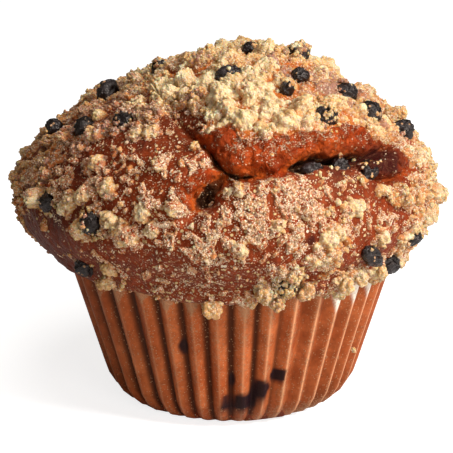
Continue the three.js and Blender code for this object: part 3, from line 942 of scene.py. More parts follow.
def clustered(rng, seeds, most, spread, share):
    """Directions in loose clusters of one to a given number, some millimetres wide."""
    middle = drawn_directions(rng, seeds, share)
    owner = np.repeat(np.arange(seeds), rng.integers(1, most + 1, seeds))
    sideways = rng.normal(size=(len(owner), 3)) * spread / CRACK_RADIUS
    dirs = unit(middle[owner] + sideways)
    skin = crust(dirs)
    clear = (skin["torn"] < 0.5) & (berry_clearance(dirs) > 0.5)
    return dirs[clear]


def on_crown(dirs, skin):
    return skin["crown"]


def on_flanks(dirs, skin):
    return flank_cover(dirs, skin)[0]


def along_rim(dirs, skin):
    near_front = np.abs(azimuth_of(dirs) - RIM_CRUMBS_MIDDLE) < RIM_CRUMBS_REACH
    return skin["crown"] * (skin["rim"] < RIM_CRUMBS_WIDTH) * near_front


def streusel_layers():
    """Balls that the pressed streusel is made of, the largest first."""
    rng = np.random.default_rng(SEEDS["layers"])
    clumps = np.array(CLUMPS)
    owner = np.repeat(np.arange(len(clumps)), CRUMBS_PER_CLUMP)
    spread = clumps[owner, 2:3] * 0.36 / CRACK_RADIUS
    named = direction(clumps[:, 0], clumps[:, 1])
    in_clumps = unit(named[owner] + rng.normal(size=(len(owner), 3)) * spread)
    cores = (clumps[:, 2] * 0.55, clumps[:, 2] * 0.75), (clumps[:, 3] * 0.6, clumps[:, 3] * 0.9)
    heaps = drawn_directions(rng, 170, on_crown)
    layers = []
    # Each kind: directions, size, how far the ball rises, its unevenness, spread of tones and
    # how much of the ground's tone it takes on.
    for dirs, size, rise, (wavelength, depth), toning, blends in [
        (heaps, (2.2, 4.0), (0.4, 1.6), (2.4, 0.12), 0.14, 1),
        (clustered(rng, 330, 4, 1.5, on_crown), (0.7, 1.4), (0.3, 0.8), (1.1, 0.25), 0.12, 1),
        (clustered(rng, 260, 5, 1.3, on_flanks), (0.6, 1.2), (0.4, 1.2), (0.8, 0.35), 0.16, 1),
        (clustered(rng, 110, 4, 1.0, along_rim), (0.8, 1.5), (0.5, 1.1), (1.0, 0.3), 0.12, 1),
        (named, *cores, (1.7, 0.3), 0.08, 0.35),
        (in_clumps, (0.5, 1.0), (0.3, 1.0), (0.7, 0.35), 0.08, 1),
    ]:
        count = len(dirs)
        layers.append({
            "dirs": dirs, "sizes": rng.uniform(*size, count), "rises": rng.uniform(*rise, count),
            "tones": rng.normal(0, toning, count), "wavelength": wavelength, "depth": depth,
            "blends": blends,
        })
    return layers


def piled(dirs, radius, tone, layers):
    """Closes a surface over the balls that lie on it; also tells how far down their sides."""
    tree = kdtree.KDTree(len(dirs))
    for index, place in enumerate(dirs.tolist()):
        tree.insert(place, index)
    tree.balance()
    radius, tone, side = radius.copy(), tone.copy(), np.ones(len(dirs))
    for layer in layers:
        ground, toned = radius.copy(), tone.copy()
        uneven = 1 + layer["depth"] * waves(dirs * CRACK_RADIUS, layer["wavelength"], 2.7)
        balls = zip(layer["dirs"], layer["sizes"], layer["rises"], layer["tones"])
        for place, size, rise, change in balls:
            found = tree.find_range(place, 1.3 * size / CRACK_RADIUS)
            if not found:
                continue
            nearest = min(found, key=lambda hit: hit[2])[1]
            near = np.array([index for _, index, _ in found])
            centre = ground[nearest] + rise - size
            along = (dirs[near] @ place) * centre
            inside = (size * uneven[near]) ** 2 - centre ** 2 + along ** 2
            near, along, inside = (a[inside > 0] for a in (near, along, inside))
            reach = along + np.sqrt(inside)
            higher = reach > radius[near]
            near = near[higher]
            radius[near] = reach[higher]
            tone[near] = toned[nearest] * layer["blends"] + change
            side[near] = 1 - np.sqrt(inside[higher]) / size
    return radius, np.clip(tone, 0, 1), np.clip(side, 0, 1)


def pressed_surface(dirs):
    """Radius of the pressed streusel over the whole dome, and what its material reads."""
    skin = crust(dirs)
    places = dirs * skin["radius"][:, None]
    coarse, fine = granular(places, 1.8, 5.1), granular(places, 0.7, 9.3)
    clumps, lace = flank_cover(dirs, skin)
    clear, crown = berry_clearance(dirs), skin["crown"]
    full = crown * (1 - np.clip(swelling(dirs, CROWN_GAPS), 0, 1))
    whole = 1 - skin["torn"]
    flanks = np.maximum(clumps * (0.6 + 0.7 * coarse), whole * lace * (0.3 + 0.6 * fine))
    relief = crust_relief(places, skin)
    base = skin["radius"] + np.where(crown > 0.5, -CROWN_BED, relief - HIDDEN_BELOW)
    bed = 0.75 + 0.7 * waves(places, 4.0, 7.7) + 0.5 * waves(places, 2.3, 17.7)
    start = base + clear * ((1 - crown) * flanks + full * bed)
    radius, tone, side = piled(dirs, start, browned(dirs), streusel_layers())
    radius = np.where(crown > 0.5, start + (radius - start) * (0.3 + 0.7 * full), radius)
    shown = np.maximum(crown, smooth(radius - base, 0.2, 0.5))
    grain = 0.5 * (coarse - 0.5) + 0.4 * (fine - 0.5) + 0.1 * waves(places, 0.5, 8.8)
    radius += shown * grain
    # depth is painted shade: low places on the crown, creases between coarse grains and the sides
    # of the balls.
    low = 1 - smooth(radius - base, 0.4, 1.7)
    depth = np.clip(low * crown + 0.7 * (1 - coarse) ** 2 + 0.7 * side ** 2, 0, 1)
    return radius, {"depth": depth, "tone": tone, "sugared": lace * (1 - clumps) * (1 - crown)}


class MUFFIN_OT_pressed_streusel(bpy.types.Operator):
    """Build the granular streusel that has baked onto the crown and the flanks"""

    bl_idname = "muffin.pressed_streusel"
    bl_label = "Pressed streusel"

    def execute(self, context):
        material = streusel_material(context.scene.muffin_colours)
        patches = {name: cover_mesh(name) for name in PATCHES}
        dirs = unit(np.array([v.co for bm in patches.values() for v in bm.verts]))
        radius, marks = pressed_surface(dirs)
        places = (dirs * radius[:, None] + DOME_CENTRE) * MM
        first = 0
        for name, bm in patches.items():
            own = slice(first, first + len(bm.verts))
            first = own.stop
            for vert, place in zip(bm.verts, places[own]):
                vert.co = place
            close_back(bm)
            mesh = mesh_from(bm)
            # The corners of the skirt come last; they get the full painted shade.
            skirt = np.zeros(len(mesh.vertices) - (own.stop - own.start))
            mark(
                mesh, depth=np.append(marks["depth"][own], skirt + 1),
                tone=np.append(marks["tone"][own], skirt),
                sugared=np.append(marks["sugared"][own], skirt),
            )
            new_piece(f"streusel_{name}", mesh, material)
        return {"FINISHED"}


# ---------------------------------------------------------------- berries

BERRY_DETAIL = 5
BERRY_LIFT = 0.5 * MM  # the solids stand on the crust, the berries in its streusel
CALYX_RADIUS = 24.0  # degrees round the calyx's middle
CALYX_WIDTH = 8.0
CALYX_LOBES = 5
CALYX_RISE = 0.14
CALYX_DIP = 0.34
BERRY_SWELL = 1.1
WRINKLE_DEPTH = 0.26
# Directions that no berry's axes lie along.
ASKEW = [0.3, 0.2, 1.0]
ASKEW_TO_CALYX = [0.2, 1.0, 0.1]


def berry_form(node):
    """Centre, half sizes, axes and calyx direction of a berry's solid, from its mesh."""
    points = coordinates(node.data)
    centre = (points.min(0) + points.max(0)) / 2
    outwards = unit(centre - DOME_CENTRE * MM)
    across = unit(np.cross(outwards, ASKEW))
    along = np.cross(outwards, across)
    local = points - centre
    flat = np.stack([local @ across, local @ along])
    _, turns = np.linalg.eigh(flat @ flat.T)
    width_axis = turns[0, 0] * across + turns[1, 0] * along
    length_axis = np.cross(width_axis, outwards)
    axes = np.stack([length_axis, width_axis, outwards])
    halves = np.abs(local @ axes.T).max(0)
    scaled = local @ axes.T / halves
    calyx = unit(scaled[np.argmin(np.linalg.norm(scaled, axis=1))])
    return centre, halves, axes, calyx


def berry_mesh(node, number):
    """A berry that fills out its solid, with wrinkles and the crown round its calyx."""
    centre, halves, axes, calyx = berry_form(node)
    mesh = mesh_from(ball(BERRY_DETAIL))
    ball_points = unit(coordinates(mesh))
    side = unit(np.cross(calyx, ASKEW_TO_CALYX))
    forward = np.cross(calyx, side)
    angle = np.degrees(np.arccos(np.clip(ball_points @ calyx, -1, 1)))
    turn = np.arctan2(ball_points @ side, ball_points @ forward)
    crown = np.exp(-(((angle - CALYX_RADIUS) / CALYX_WIDTH) ** 2))
    points_of_crown = 0.6 + 0.4 * np.cos(CALYX_LOBES * turn + number)
    dip = 1 - smooth(angle, 5, CALYX_RADIUS)
    wrinkles = np.abs(waves(ball_points, 0.5, number * 1.7)) * WRINKLE_DEPTH
    dents = waves(ball_points, 1.1, number * 3.3) * WRINKLE_DEPTH
    radius = BERRY_SWELL + CALYX_RISE * crown * points_of_crown - CALYX_DIP * dip
    radius = radius - wrinkles + dents
    points = ball_points * radius[:, None] * halves
    lifted = centre + BERRY_LIFT * unit(centre - DOME_CENTRE * MM)
    move_vertices(mesh, points @ axes + lifted)
    mark(mesh, bloom=np.clip(0.4 + waves(ball_points, 0.9, number * 5.1), 0, 1))
    return mesh


def berry_places():
    """Direction and half size, in millimetres, of every berry's solid."""
    places = []
    for name, node in frame["nodes"].items():
        if name.startswith("berry_"):
            centre, halves, _, _ = berry_form(node)
            places.append((unit(centre - DOME_CENTRE * MM), float(halves[:2].mean()) / MM))
    return places


BERRY_PLACES = berry_places()


class MUFFIN_OT_berries(bpy.types.Operator):
    """Build the baked berries that stick out of the crust"""

    bl_idname = "muffin.berries"
    bl_label = "Berries"

    def execute(self, context):
        material = berry_material(context.scene.muffin_colours)
        names = sorted(name for name in frame["nodes"] if name.startswith("berry_"))
        if not names:
            raise RuntimeError("the packed model holds no berries")
        for number, name in enumerate(names):
            mesh = berry_mesh(frame["nodes"][name], number)
            new_piece(f"{name}_skin", mesh, material, replaces=[name])
        return {"FINISHED"}


# ---------------------------------------------------------------- paper case

COLUMNS_PER_PLEAT = 16
WALL_ROWS = 34
# Juice that has soaked through: azimuth, height, width (degrees), half height.
STAINS = [
    (19.7, 13.8, 3.4, 2.2), (12.6, 10.6, 4.4, 3.4), (4.2, 6.8, 10, 3.2), (0.3, 13.6, 1.8, 2.0),
    (-18.7, 21.5, 2.0, 2.4),
]
# Dry tips at the top of single pleats: azimuth of the ridge, length.
DRY_TIPS = [(40.2, 8.0), (48.6, 7.0), (57.4, 7.0)]
DRY_TIP_WIDTH = 4.4
FACET_LENGTHS = (3.0, 8.0)  # of the sugared tops of the pleats
BRIM = (33.6, 34.6)  # heights between which sugar begins


def ridge_azimuths():
    first, last = FRONT_RIDGES[0], FRONT_RIDGES[-1]
    others = PLEAT_COUNT - len(FRONT_RIDGES)
    spacing = (360 + first - last) / (others + 1)
    rest = [last + (i + 1) * spacing for i in range(others)]
    return np.array([*FRONT_RIDGES, *rest, first + 360])


def case_mesh():
    """The case's profile spun round, one column of quads after another."""
    bm = bmesh.new()
    start = CASE_PROFILE[-1][1]
    heights = np.linspace(start, CASE_TOP, WALL_ROWS + 1)[1:]
    profile = [*CASE_PROFILE, *((ridge_radius(z), z) for z in heights)]
    verts = [bm.verts.new((0, -radius * MM, height * MM)) for radius, height in profile]
    edges = [bm.edges.new(pair) for pair in zip(verts, verts[1:])]
    bmesh.ops.spin(
        bm, geom=verts + edges, cent=(0, 0, 0), axis=(0, 0, 1), angle=math.tau,
        steps=PLEAT_COUNT * COLUMNS_PER_PLEAT, use_merge=True,
    )
    bmesh.ops.remove_doubles(bm, verts=bm.verts[:], dist=1e-6)
    bmesh.ops.recalc_face_normals(bm, faces=bm.faces[:])
    lowest = min(bm.faces, key=lambda f: f.calc_center_median().z)
    if lowest.normal.z > 0:
        bmesh.ops.reverse_faces(bm, faces=bm.faces[:])
    return mesh_from(bm)


def paper_marks(points, shown, ridge, part, fold, fade):
    """What the paper's material reads: its folds with painted shade, its ridges with a painted
    highlight, its stains, sugar and dry tips, and painted shade on its left with darkening towards
    the bottom and on the right.
    """
    height = points[:, 2]
    stain, dry = np.zeros(len(points)), np.zeros(len(points))
    for centre, level, width, tall in STAINS:
        spot = around(shown, centre, width) * np.exp(-(((height - level) / tall) ** 2))
        stain = np.maximum(stain, spot)
    for centre, length in DRY_TIPS:
        tip = (height - CASE_TOP) / length + 1 - np.abs(shown - centre) / DRY_TIP_WIDTH
        dry = np.maximum(dry, smooth(tip, 0.0, 0.3))
    from_ridge = np.minimum(part, 1 - part) * 2
    nearest = (ridge + (part > 0.5)) % PLEAT_COUNT
    reach = np.random.default_rng(SEEDS["paper"]).uniform(*FACET_LENGTHS, PLEAT_COUNT)[nearest]
    facet = smooth((height - CASE_TOP) / reach + 1 - from_ridge, -0.05, 0.15)
    brim = smooth(height + 0.5 * waves(points, 1.2, 4.4), *BRIM)
    bottom = (1 - smooth(height, 1.0, 6.0)) * around(shown, 40, 30)
    dusting = 0.05 + 0.25 * (1 - smooth(fold, 0.1, 0.6)) * around(shown, 12, 40)
    dusting *= 1 + waves(points, 3.0, 6.6)
    film = np.clip(facet * around(shown, -20, 34) + brim + 0.8 * bottom + dusting, 0, 1)
    # Painted highlight along the ridges, strongest on the side the key light falls on.
    lit = 0.25 + 0.75 * smooth(shown, -10, 30) * smooth(shown, 100, 70)
    # Painted shade on the left, the side away from the key light; the case is also darker towards
    # the bottom and on the right.
    low = 1 - smooth(height, 2, 16)
    shade_and_darkening = 0.14 * low + 0.34 * around(shown, -64, 36) + 0.38 * around(shown, 50, 32)
    return {
        # Painted shade in the folds, weaker on the right where the key light falls.
        "fold": fold * fade * (1 - 0.5 * smooth(np.abs(shown - 60), 55, 30)),
        "stain": smooth(stain + 0.3 * waves(points, 2.2, 2.2), 0.25, 0.6),
        "film": film * (1 - smooth(stain, 0.1, 0.4)),
        "ridge": lit * np.exp(-((from_ridge / 0.1) ** 2)) * fade, "dry": dry,
        "shade_and_darkening": shade_and_darkening - 0.11,
    }


class MUFFIN_OT_paper_case(bpy.types.Operator):
    """Build the pleated paper case"""

    bl_idname = "muffin.paper_case"
    bl_label = "Paper case"

    def execute(self, context):
        sizes = context.scene.muffin_sizes
        mesh = case_mesh()
        points = coordinates(mesh) / MM
        radius = np.hypot(points[:, 0], points[:, 1])
        place = (azimuth_of(points) % 360) / 360 * PLEAT_COUNT
        ridge = np.minimum(place.astype(int), PLEAT_COUNT - 1)
        part = place - ridge
        ridges = ridge_azimuths()
        azimuth = ridges[ridge] + (ridges[ridge + 1] - ridges[ridge]) * part
        fade = smooth(radius, CASE_FOOT_RADIUS, CASE_FULL_PLEATS)
        fold = 0.5 * (1 - np.abs(np.cos(math.pi * part))) + 0.5 * np.sin(math.pi * part) ** 2
        radius = radius - sizes.pleat_depth / MM * fade * fold
        a = np.radians(azimuth)
        points = np.stack([radius * np.sin(a), -radius * np.cos(a), points[:, 2]], -1)
        shown = (azimuth + 180) % 360 - 180
        mark(mesh, **paper_marks(points, shown, ridge, part, fold, fade))
        move_vertices(mesh, points * MM)
        material = paper_material(context.scene.muffin_colours)
        piece = new_piece("paper_case_pleated", mesh, material, replaces=["paper_case"])
        wall = piece.modifiers.new("wall", "SOLIDIFY")
        wall.thickness = sizes.paper_thickness
        wall.offset = -1
        return {"FINISHED"}


# ---------------------------------------------------------------- scattered pieces

# Clumps that stand out: azimuth, elevation (degrees), radius, height above the ground.
CLUMPS = [
    (-6, -22.8, 3.1, 1.5), (9, -15.5, 2.7, 1.8), (13, -19, 2.3, 1.6), (21.5, -16, 2.8, 1.8),
    (18, -10, 2.4, 1.5), (34.5, -15.8, 2.9, 1.9), (40, -14.4, 2.4, 1.7), (49.5, -15.6, 2.6, 1.6),
    (-38, -11.5, 2.1, 1.5), (-41, -17.5, 2.2, 1.5), (-43, 18, 2.3, 1.6), (26, 0, 3.2, 1.6),
    (33.5, 7, 2.6, 1.8), (-30, 30, 2.6, 1.6), (-46, 52, 3.4, 1.9), (-29, 55, 3.2, 1.8),
    (-38, 44, 3.0, 1.7), (-36, 12, 2.6, 1.7), (-48, 6.5, 2.4, 1.6), (-27, 0, 2.2, 1.5),
    (-89, 3, 2.0, 1.6), (110, 30, 2.4, 1.7), (-96, 47, 2.8, 1.8), (78, 1, 2.5, 1.9),
    (84, 11, 2.5, 2.0), (72, -5, 2.4, 1.7), (88, 24, 2.6, 2.0), (84, 38, 2.8, 2.0),
    (112, 52, 2.6, 1.8), (66, 52, 2.8, 1.9), (-44, 49, 2.6, 2.2), (-33, 46.5, 2.8, 2.2),
    (-24, 47, 2.4, 1.8), (-5, 44, 3.0, 2.0), (-7, 49, 3.2, 1.8), (7, 46, 3.2, 1.9),
    (14, 38, 2.8, 1.8), (-2, 39, 3.0, 1.8), (27, 38, 2.6, 1.8), (49, 38, 2.8, 1.7),
    (-16, 43, 2.8, 1.7), (28, 62, 3.2, 1.8), (-4, 71, 3.2, 1.8), (56, 74, 3.2, 1.9),
    (-52, 70, 3.2, 1.8), (140, 74, 3.2, 1.9), (-48, 40.5, 3.2, 1.8), (-42, 38, 2.6, 1.5),
    (-60, 31, 2.4, 1.7), (-35, 28.5, 2.8, 1.6), (-52, 25.5, 2.4, 1.6), (-43.5, 9, 2.8, 1.7),
    (-50, 4.3, 2.6, 1.6), (-63, 4.2, 3.0, 1.8), (-43.5, -0.5, 2.8, 1.6), (-33.5, 4, 3.0, 1.7),
    (-29.5, 0.5, 2.8, 1.6), (-24, 8, 2.4, 1.5), (-21.5, 20.5, 1.8, 1.4), (-15.5, 9.5, 1.8, 1.4),
    (-21.5, 3, 1.8, 1.4), (36, 6.5, 2.4, 1.6), (45, -3, 1.9, 1.4), (71, 13, 2.6, 1.6),
    (29, 1, 2.6, 1.6), (64, 33, 2.2, 1.6), (66, 27, 2.2, 1.5), (70, 26, 2.6, 1.7),
    (12, 5, 1.8, 1.4), (2, -1, 1.8, 1.4), (20, 8, 2.0, 1.4), (44, 39, 2.0, 1.6),
    (53, 33, 2.0, 1.5),
]
# Clumps that hang out over the case, beyond what a surface raised from the dome can show.
HANGING_BELOW = -14.0
LUMP_DETAIL = 4
GRAINS_PER_LUMP = 26
# Radii of loose pieces in millimetres, and how long their sides are as shares of those.
LUMP_RADII = (0.9, 1.9)
CRUMB_RADII = (0.35, 0.8)
GRAIN_RADII = (0.16, 0.36)
SUGAR_RADII = (0.14, 0.29)
SIDES = (0.65, 1.0)
# How many forms each kind comes in.
LUMP_FORMS = 10
CRUMB_FORMS = 24
SUGAR_FORMS = 12
# How unevenly brown the loose pieces are.
LUMP_TONES = 0.12
CRUMB_TONES = 0.15
RAY_START = 0.1  # metres from the middle of the dome


def shape_from(bm):
    """Corners and triangles of one small thing that is scattered."""
    mesh = mesh_from(bm)
    points = coordinates(mesh)
    triangles = np.empty(len(mesh.polygons) * 3, np.int32)
    mesh.polygons.foreach_get("vertices", triangles)
    bpy.data.meshes.remove(mesh)
    return points, triangles.reshape(-1, 3)


def noisy_ball(subdivisions, wavelength, depth, shift):
    """A small uneven lump about one unit in radius."""
    points, triangles = shape_from(ball(subdivisions))
    points = unit(points)
    radius = 1 + depth * waves(points, wavelength, shift)
    return points * radius[:, None], triangles


def granular_ball(seed):
    """A lump pressed together from rounded grains."""
    rng = np.random.default_rng(seed)
    points, triangles = shape_from(ball(LUMP_DETAIL))
    points = unit(points)
    count = GRAINS_PER_LUMP
    middles = unit(rng.normal(size=(count, 3))) * rng.uniform(0.45, 0.72, (count, 1))
    sizes = rng.uniform(0.22, 0.42, count)
    radius = np.full(len(points), 0.5)
    for middle, size in zip(middles, sizes):
        along = points @ middle
        inside = size ** 2 - middle @ middle + along ** 2
        reach = np.where(inside > 0, along + np.sqrt(np.maximum(inside, 0)), 0)
        radius = np.maximum(radius, reach)
    return points * radius[:, None], triangles


def random_turns(rng, count):
    """Rotation matrices spread evenly."""
    q = unit(rng.normal(size=(count, 4)))
    w, x, y, z = q.T
    rows = [
        [1 - 2 * (y * y + z * z), 2 * (x * y - z * w), 2 * (x * z + y * w)],
        [2 * (x * y + z * w), 1 - 2 * (x * x + z * z), 2 * (y * z - x * w)],
        [2 * (x * z - y * w), 2 * (y * z + x * w), 1 - 2 * (x * x + y * y)],
    ]
    return np.array(rows).transpose(2, 0, 1)


def joined_mesh(rng, shapes, places, radii):
    """One mesh with a turned copy of a shape at each place, and each corner's copy number."""
    kinds = rng.integers(len(shapes), size=len(places))
    turns = random_turns(rng, len(places))
    sides = rng.uniform(*SIDES, size=(len(places), 3)) * radii[:, None]
    corners, faces, owners = [], [], []
    first = 0
    for kind, (points, triangles) in enumerate(shapes):
        chosen = np.flatnonzero(kinds == kind)
        sized = points[None] * sides[chosen][:, None]
        placed = np.einsum("nij,nkj->nki", turns[chosen], sized) + places[chosen][:, None]
        offsets = first + np.arange(len(chosen)) * len(points)
        corners.append(placed.reshape(-1, 3))
        faces.append((triangles[None] + offsets[:, None, None]).reshape(-1, 3))
        owners.append(np.repeat(chosen, len(points)))
        first += len(chosen) * len(points)
    corners, faces = np.concatenate(corners), np.concatenate(faces)
    mesh = bpy.data.meshes.new("scattered")
    mesh.vertices.add(len(corners))
    mesh.loops.add(faces.size)
    mesh.polygons.add(len(faces))
    mesh.vertices.foreach_set("co", corners.astype(np.float32).ravel())
    mesh.polygons.foreach_set("loop_start", np.arange(0, faces.size, 3, dtype=np.int32))
    mesh.loops.foreach_set("vertex_index", faces.astype(np.int32).ravel())
    mesh.update(calc_edges=True)
    return mesh, np.concatenate(owners)


# Crumbs dropped onto single berries, by their number from 0; the others get a few.
COVERED_BERRIES = {3: 30, 4: 120, 7: 180, 13: 100, 17: 60, 18: 50, 23: 220}
CRUMBS_PER_BERRY = 9
# The one crumb that sticks to the paper: azimuth, height, radius.
PAPER_CRUMB = (60.8, 15.0, 0.95)


class Ground:
    """The pieces that loose things have landed on so far."""

    def __init__(self):
        graph = bpy.context.evaluated_depsgraph_get()
        names = [o.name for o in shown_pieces() if "paper" not in o.name]
        self.trees = [BVHTree.FromObject(bpy.data.objects[n], graph) for n in names]
        self.is_berry = [n.startswith("berry_") for n in names]

    def landed(self, dirs):
        """Where rays from outside first meet a piece, and whether it is a berry."""
        centre = Vector(DOME_CENTRE * MM)
        places, on_berry = np.zeros((len(dirs), 3)), np.zeros(len(dirs), bool)
        for i, outwards in enumerate(dirs.tolist()):
            outwards = Vector(outwards)
            origin = centre + outwards * RAY_START
            nearest = RAY_START
            for tree, is_berry in zip(self.trees, self.is_berry):
                place, _, _, away = tree.ray_cast(origin, -outwards, nearest)
                if place is not None:
                    nearest = away
                    places[i], on_berry[i] = place, is_berry
        return places, on_berry


def loose_share(dirs, skin):
    clumps, lace = flank_cover(dirs, skin)
    return np.maximum(clumps + 0.06 * lace, 0.15 * skin["crown"])


def sugar_share(dirs, skin):
    clumps, lace = flank_cover(dirs, skin)
    share = np.clip(lace + 0.3 * clumps + 0.04 + 0.1 * skin["torn"], 0, 1)
    return share * (1 - 0.8 * skin["crown"])


def loose_piece(name, rng, shapes, dirs, places, radii, unevenness, material):
    """One piece for a kind of loose things, as brown as the streusel round them."""
    mesh, owners = joined_mesh(rng, shapes, places, radii * MM)
    tones = np.clip(browned(dirs) + rng.normal(0, unevenness, len(dirs)), 0, 1)
    mark(mesh, tone=tones[owners])
    return new_piece(name, mesh, material)


def scatter(name, seed, dirs, sizes, shapes, material, berry_share=0.3):
    """Drops a kind of loose things onto what is there."""
    rng = np.random.default_rng(seed)
    radii = rng.uniform(*sizes, len(dirs))
    places, on_berry = Ground().landed(dirs)
    kept = ~on_berry | (rng.random(len(dirs)) < berry_share)
    dirs, radii, places = dirs[kept], radii[kept], places[kept]
    return loose_piece(name, rng, shapes, dirs, places, radii, CRUMB_TONES, material)


class MUFFIN_OT_streusel(bpy.types.Operator):
    """Scatter streusel lumps, crumbs and fine grains over the crust"""

    bl_idname = "muffin.streusel"
    bl_label = "Loose streusel"

    def execute(self, context):
        sizes = context.scene.muffin_sizes
        material = bpy.data.materials["streusel"]
        rng = np.random.default_rng(SEEDS["lumps"])
        clumps = np.array(CLUMPS)
        hanging = clumps[clumps[:, 1] < HANGING_BELOW]
        named = direction(hanging[:, 0], hanging[:, 1])
        drawn = drawn_directions(rng, sizes.lump_count - len(named), loose_share)
        dirs = np.concatenate([named, drawn])
        radii = np.concatenate([hanging[:, 2] * 0.95, rng.uniform(*LUMP_RADII, len(drawn))])
        places, on_berry = Ground().landed(dirs)
        kept = ~on_berry
        azimuth, height, radius = PAPER_CRUMB
        on_paper = direction(azimuth, 0) * ridge_radius(height) + [0, 0, height]
        places = np.concatenate([places[kept], [on_paper * MM]])
        radii, dirs = np.append(radii[kept], radius), np.concatenate([dirs[kept], named[:1]])
        shapes = [granular_ball(seed) for seed in range(LUMP_FORMS)]
        loose_piece("streusel_lumps", rng, shapes, dirs, places, radii, LUMP_TONES, material)

        shapes = [noisy_ball(2, 0.6, 0.9, 2.0 * i) for i in range(CRUMB_FORMS)]
        dirs = drawn_directions(rng, sizes.crumb_count, loose_share)
        counts = [COVERED_BERRIES.get(i, CRUMBS_PER_BERRY) for i in range(len(BERRY_PLACES))]
        middles = np.repeat([outwards for outwards, _ in BERRY_PLACES], counts, axis=0)
        dirs = np.concatenate([dirs, unit(middles + rng.normal(0, 0.04, middles.shape))])
        scatter("streusel_crumbs", SEEDS["crumbs"], dirs, CRUMB_RADII, shapes, material)
        shapes = [noisy_ball(1, 0.7, 0.8, 2.0 * i) for i in range(CRUMB_FORMS)]
        dirs = clustered(rng, sizes.grain_count // 3, 5, 0.8, loose_share)
        scatter("streusel_grains", SEEDS["grains"], dirs, GRAIN_RADII, shapes, material)
        return {"FINISHED"}


def sugar_grain(seed):
    """An uneven little crystal with eight faces."""
    rng = np.random.default_rng(seed)
    bm = bmesh.new()
    bmesh.ops.create_circle(bm, segments=4, radius=1)
    poles = [bm.verts.new((0, 0, 1)), bm.verts.new((0, 0, -1))]
    for edge in bm.edges[:]:
        for pole in poles:
            bmesh.ops.contextual_create(bm, geom=[*edge.verts, pole])
    bmesh.ops.recalc_face_normals(bm, faces=bm.faces[:])
    points, triangles = shape_from(bm)
    return points * rng.uniform(0.75, 1.2, (len(points), 1)), triangles


class MUFFIN_OT_sugar(bpy.types.Operator):
    """Sprinkle coarse sugar in clusters over the crust"""

    bl_idname = "muffin.sugar"
    bl_label = "Sugar"

    def execute(self, context):
        sizes = context.scene.muffin_sizes
        rng = np.random.default_rng(SEEDS["sugar places"])
        dirs = clustered(rng, sizes.sugar_count // 8, 15, 0.5, sugar_share)
        shapes = [sugar_grain(seed) for seed in range(SUGAR_FORMS)]
        material = sugar_material(context.scene.muffin_colours)
        seed = SEEDS["sugar"]
        piece = scatter("sugar_grains", seed, dirs, SUGAR_RADII, shapes, material, berry_share=0.6)
        piece.data.polygons.foreach_set("use_smooth", [False] * len(piece.data.polygons))
        return {"FINISHED"}


# ---------------------------------------------------------------- stage

CAMERA_DISTANCE = 0.5
CAMERA_ELEVATION = 17.0
CAMERA_TARGET = (-0.00105, 0.0, 0.0399)
CAMERA_LENS = 170.1
SENSOR_WIDTH = 36
# Lights: azimuth and elevation in degrees, distance and diameter in metres, watts.
LIGHTS = {
    "key": (54, 36, 0.6, 0.17, 4.3), "front": (26, 8, 0.7, 0.3, 2.0), "top": (5, 75, 0.6, 0.3, 1.4),
}
LIGHTS_AIM = (0, 0, 0.045)
FLOOR_HALF_WIDTH = 6
FLOOR_GLOW = 0.8  # only for the camera
WORLD_COLOUR = (1, 0.8, 0.62, 1)
WORLD_STRENGTH = 0.12


def placed(name, data, target, azimuth, elevation, distance):
    """A lamp or camera that looks at a target from a direction."""
    thing = bpy.data.objects.new(name, data)
    outwards = Vector(direction(azimuth, elevation))
    thing.location = Vector(target) + outwards * distance
    thing.rotation_euler = (-outwards).to_track_quat("-Z", "Y").to_euler()
    bpy.context.scene.collection.objects.link(thing)
    return thing


class MUFFIN_OT_stage(bpy.types.Operator):
    """Set up the floor, the lights and the camera"""

    bl_idname = "muffin.stage"
    bl_label = "Stage"

    def execute(self, context):
        scene = context.scene
        bm = bmesh.new()
        bmesh.ops.create_grid(bm, x_segments=1, y_segments=1, size=FLOOR_HALF_WIDTH)
        mesh = mesh_from(bm)
        material, tree, shader, _ = new_material("floor")
        seen = add_node(tree, "ShaderNodeLightPath").outputs["Is Camera Ray"]
        put(tree, shader, {
            "Base Color": (0.6, 0.6, 0.6, 1), "Roughness": 0.9, "Emission Color": (1, 1, 1, 1),
            "Emission Strength": times(tree, seen, FLOOR_GLOW),
        })
        mesh.materials.append(material)
        floor = bpy.data.objects.new("floor", mesh)
        scene.collection.objects.link(floor)
        floor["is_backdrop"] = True

        world = bpy.data.worlds.new("studio")
        world.use_nodes = True
        background = world.node_tree.nodes["Background"]
        put(world.node_tree, background, {"Color": WORLD_COLOUR, "Strength": WORLD_STRENGTH})
        scene.world = world

        for name, (azimuth, elevation, distance, size, power) in LIGHTS.items():
            data = bpy.data.lights.new(name, "AREA")
            data.shape = "DISK"
            data.size = size
            data.energy = power
            placed(name, data, LIGHTS_AIM, azimuth, elevation, distance)

        data = bpy.data.cameras.new("camera")
        data.lens = CAMERA_LENS
        data.sensor_width = SENSOR_WIDTH
        scene.camera = placed("camera", data, CAMERA_TARGET, 0, CAMERA_ELEVATION, CAMERA_DISTANCE)
        scene.view_settings.view_transform = "Standard"
        return {"FINISHED"}


# ---------------------------------------------------------------- add-on


def colour_property(name, description, display):
    return FloatVectorProperty(
        name=name, description=description, subtype="COLOR", size=3, min=0, max=1,
        default=srgb(*display),
    )


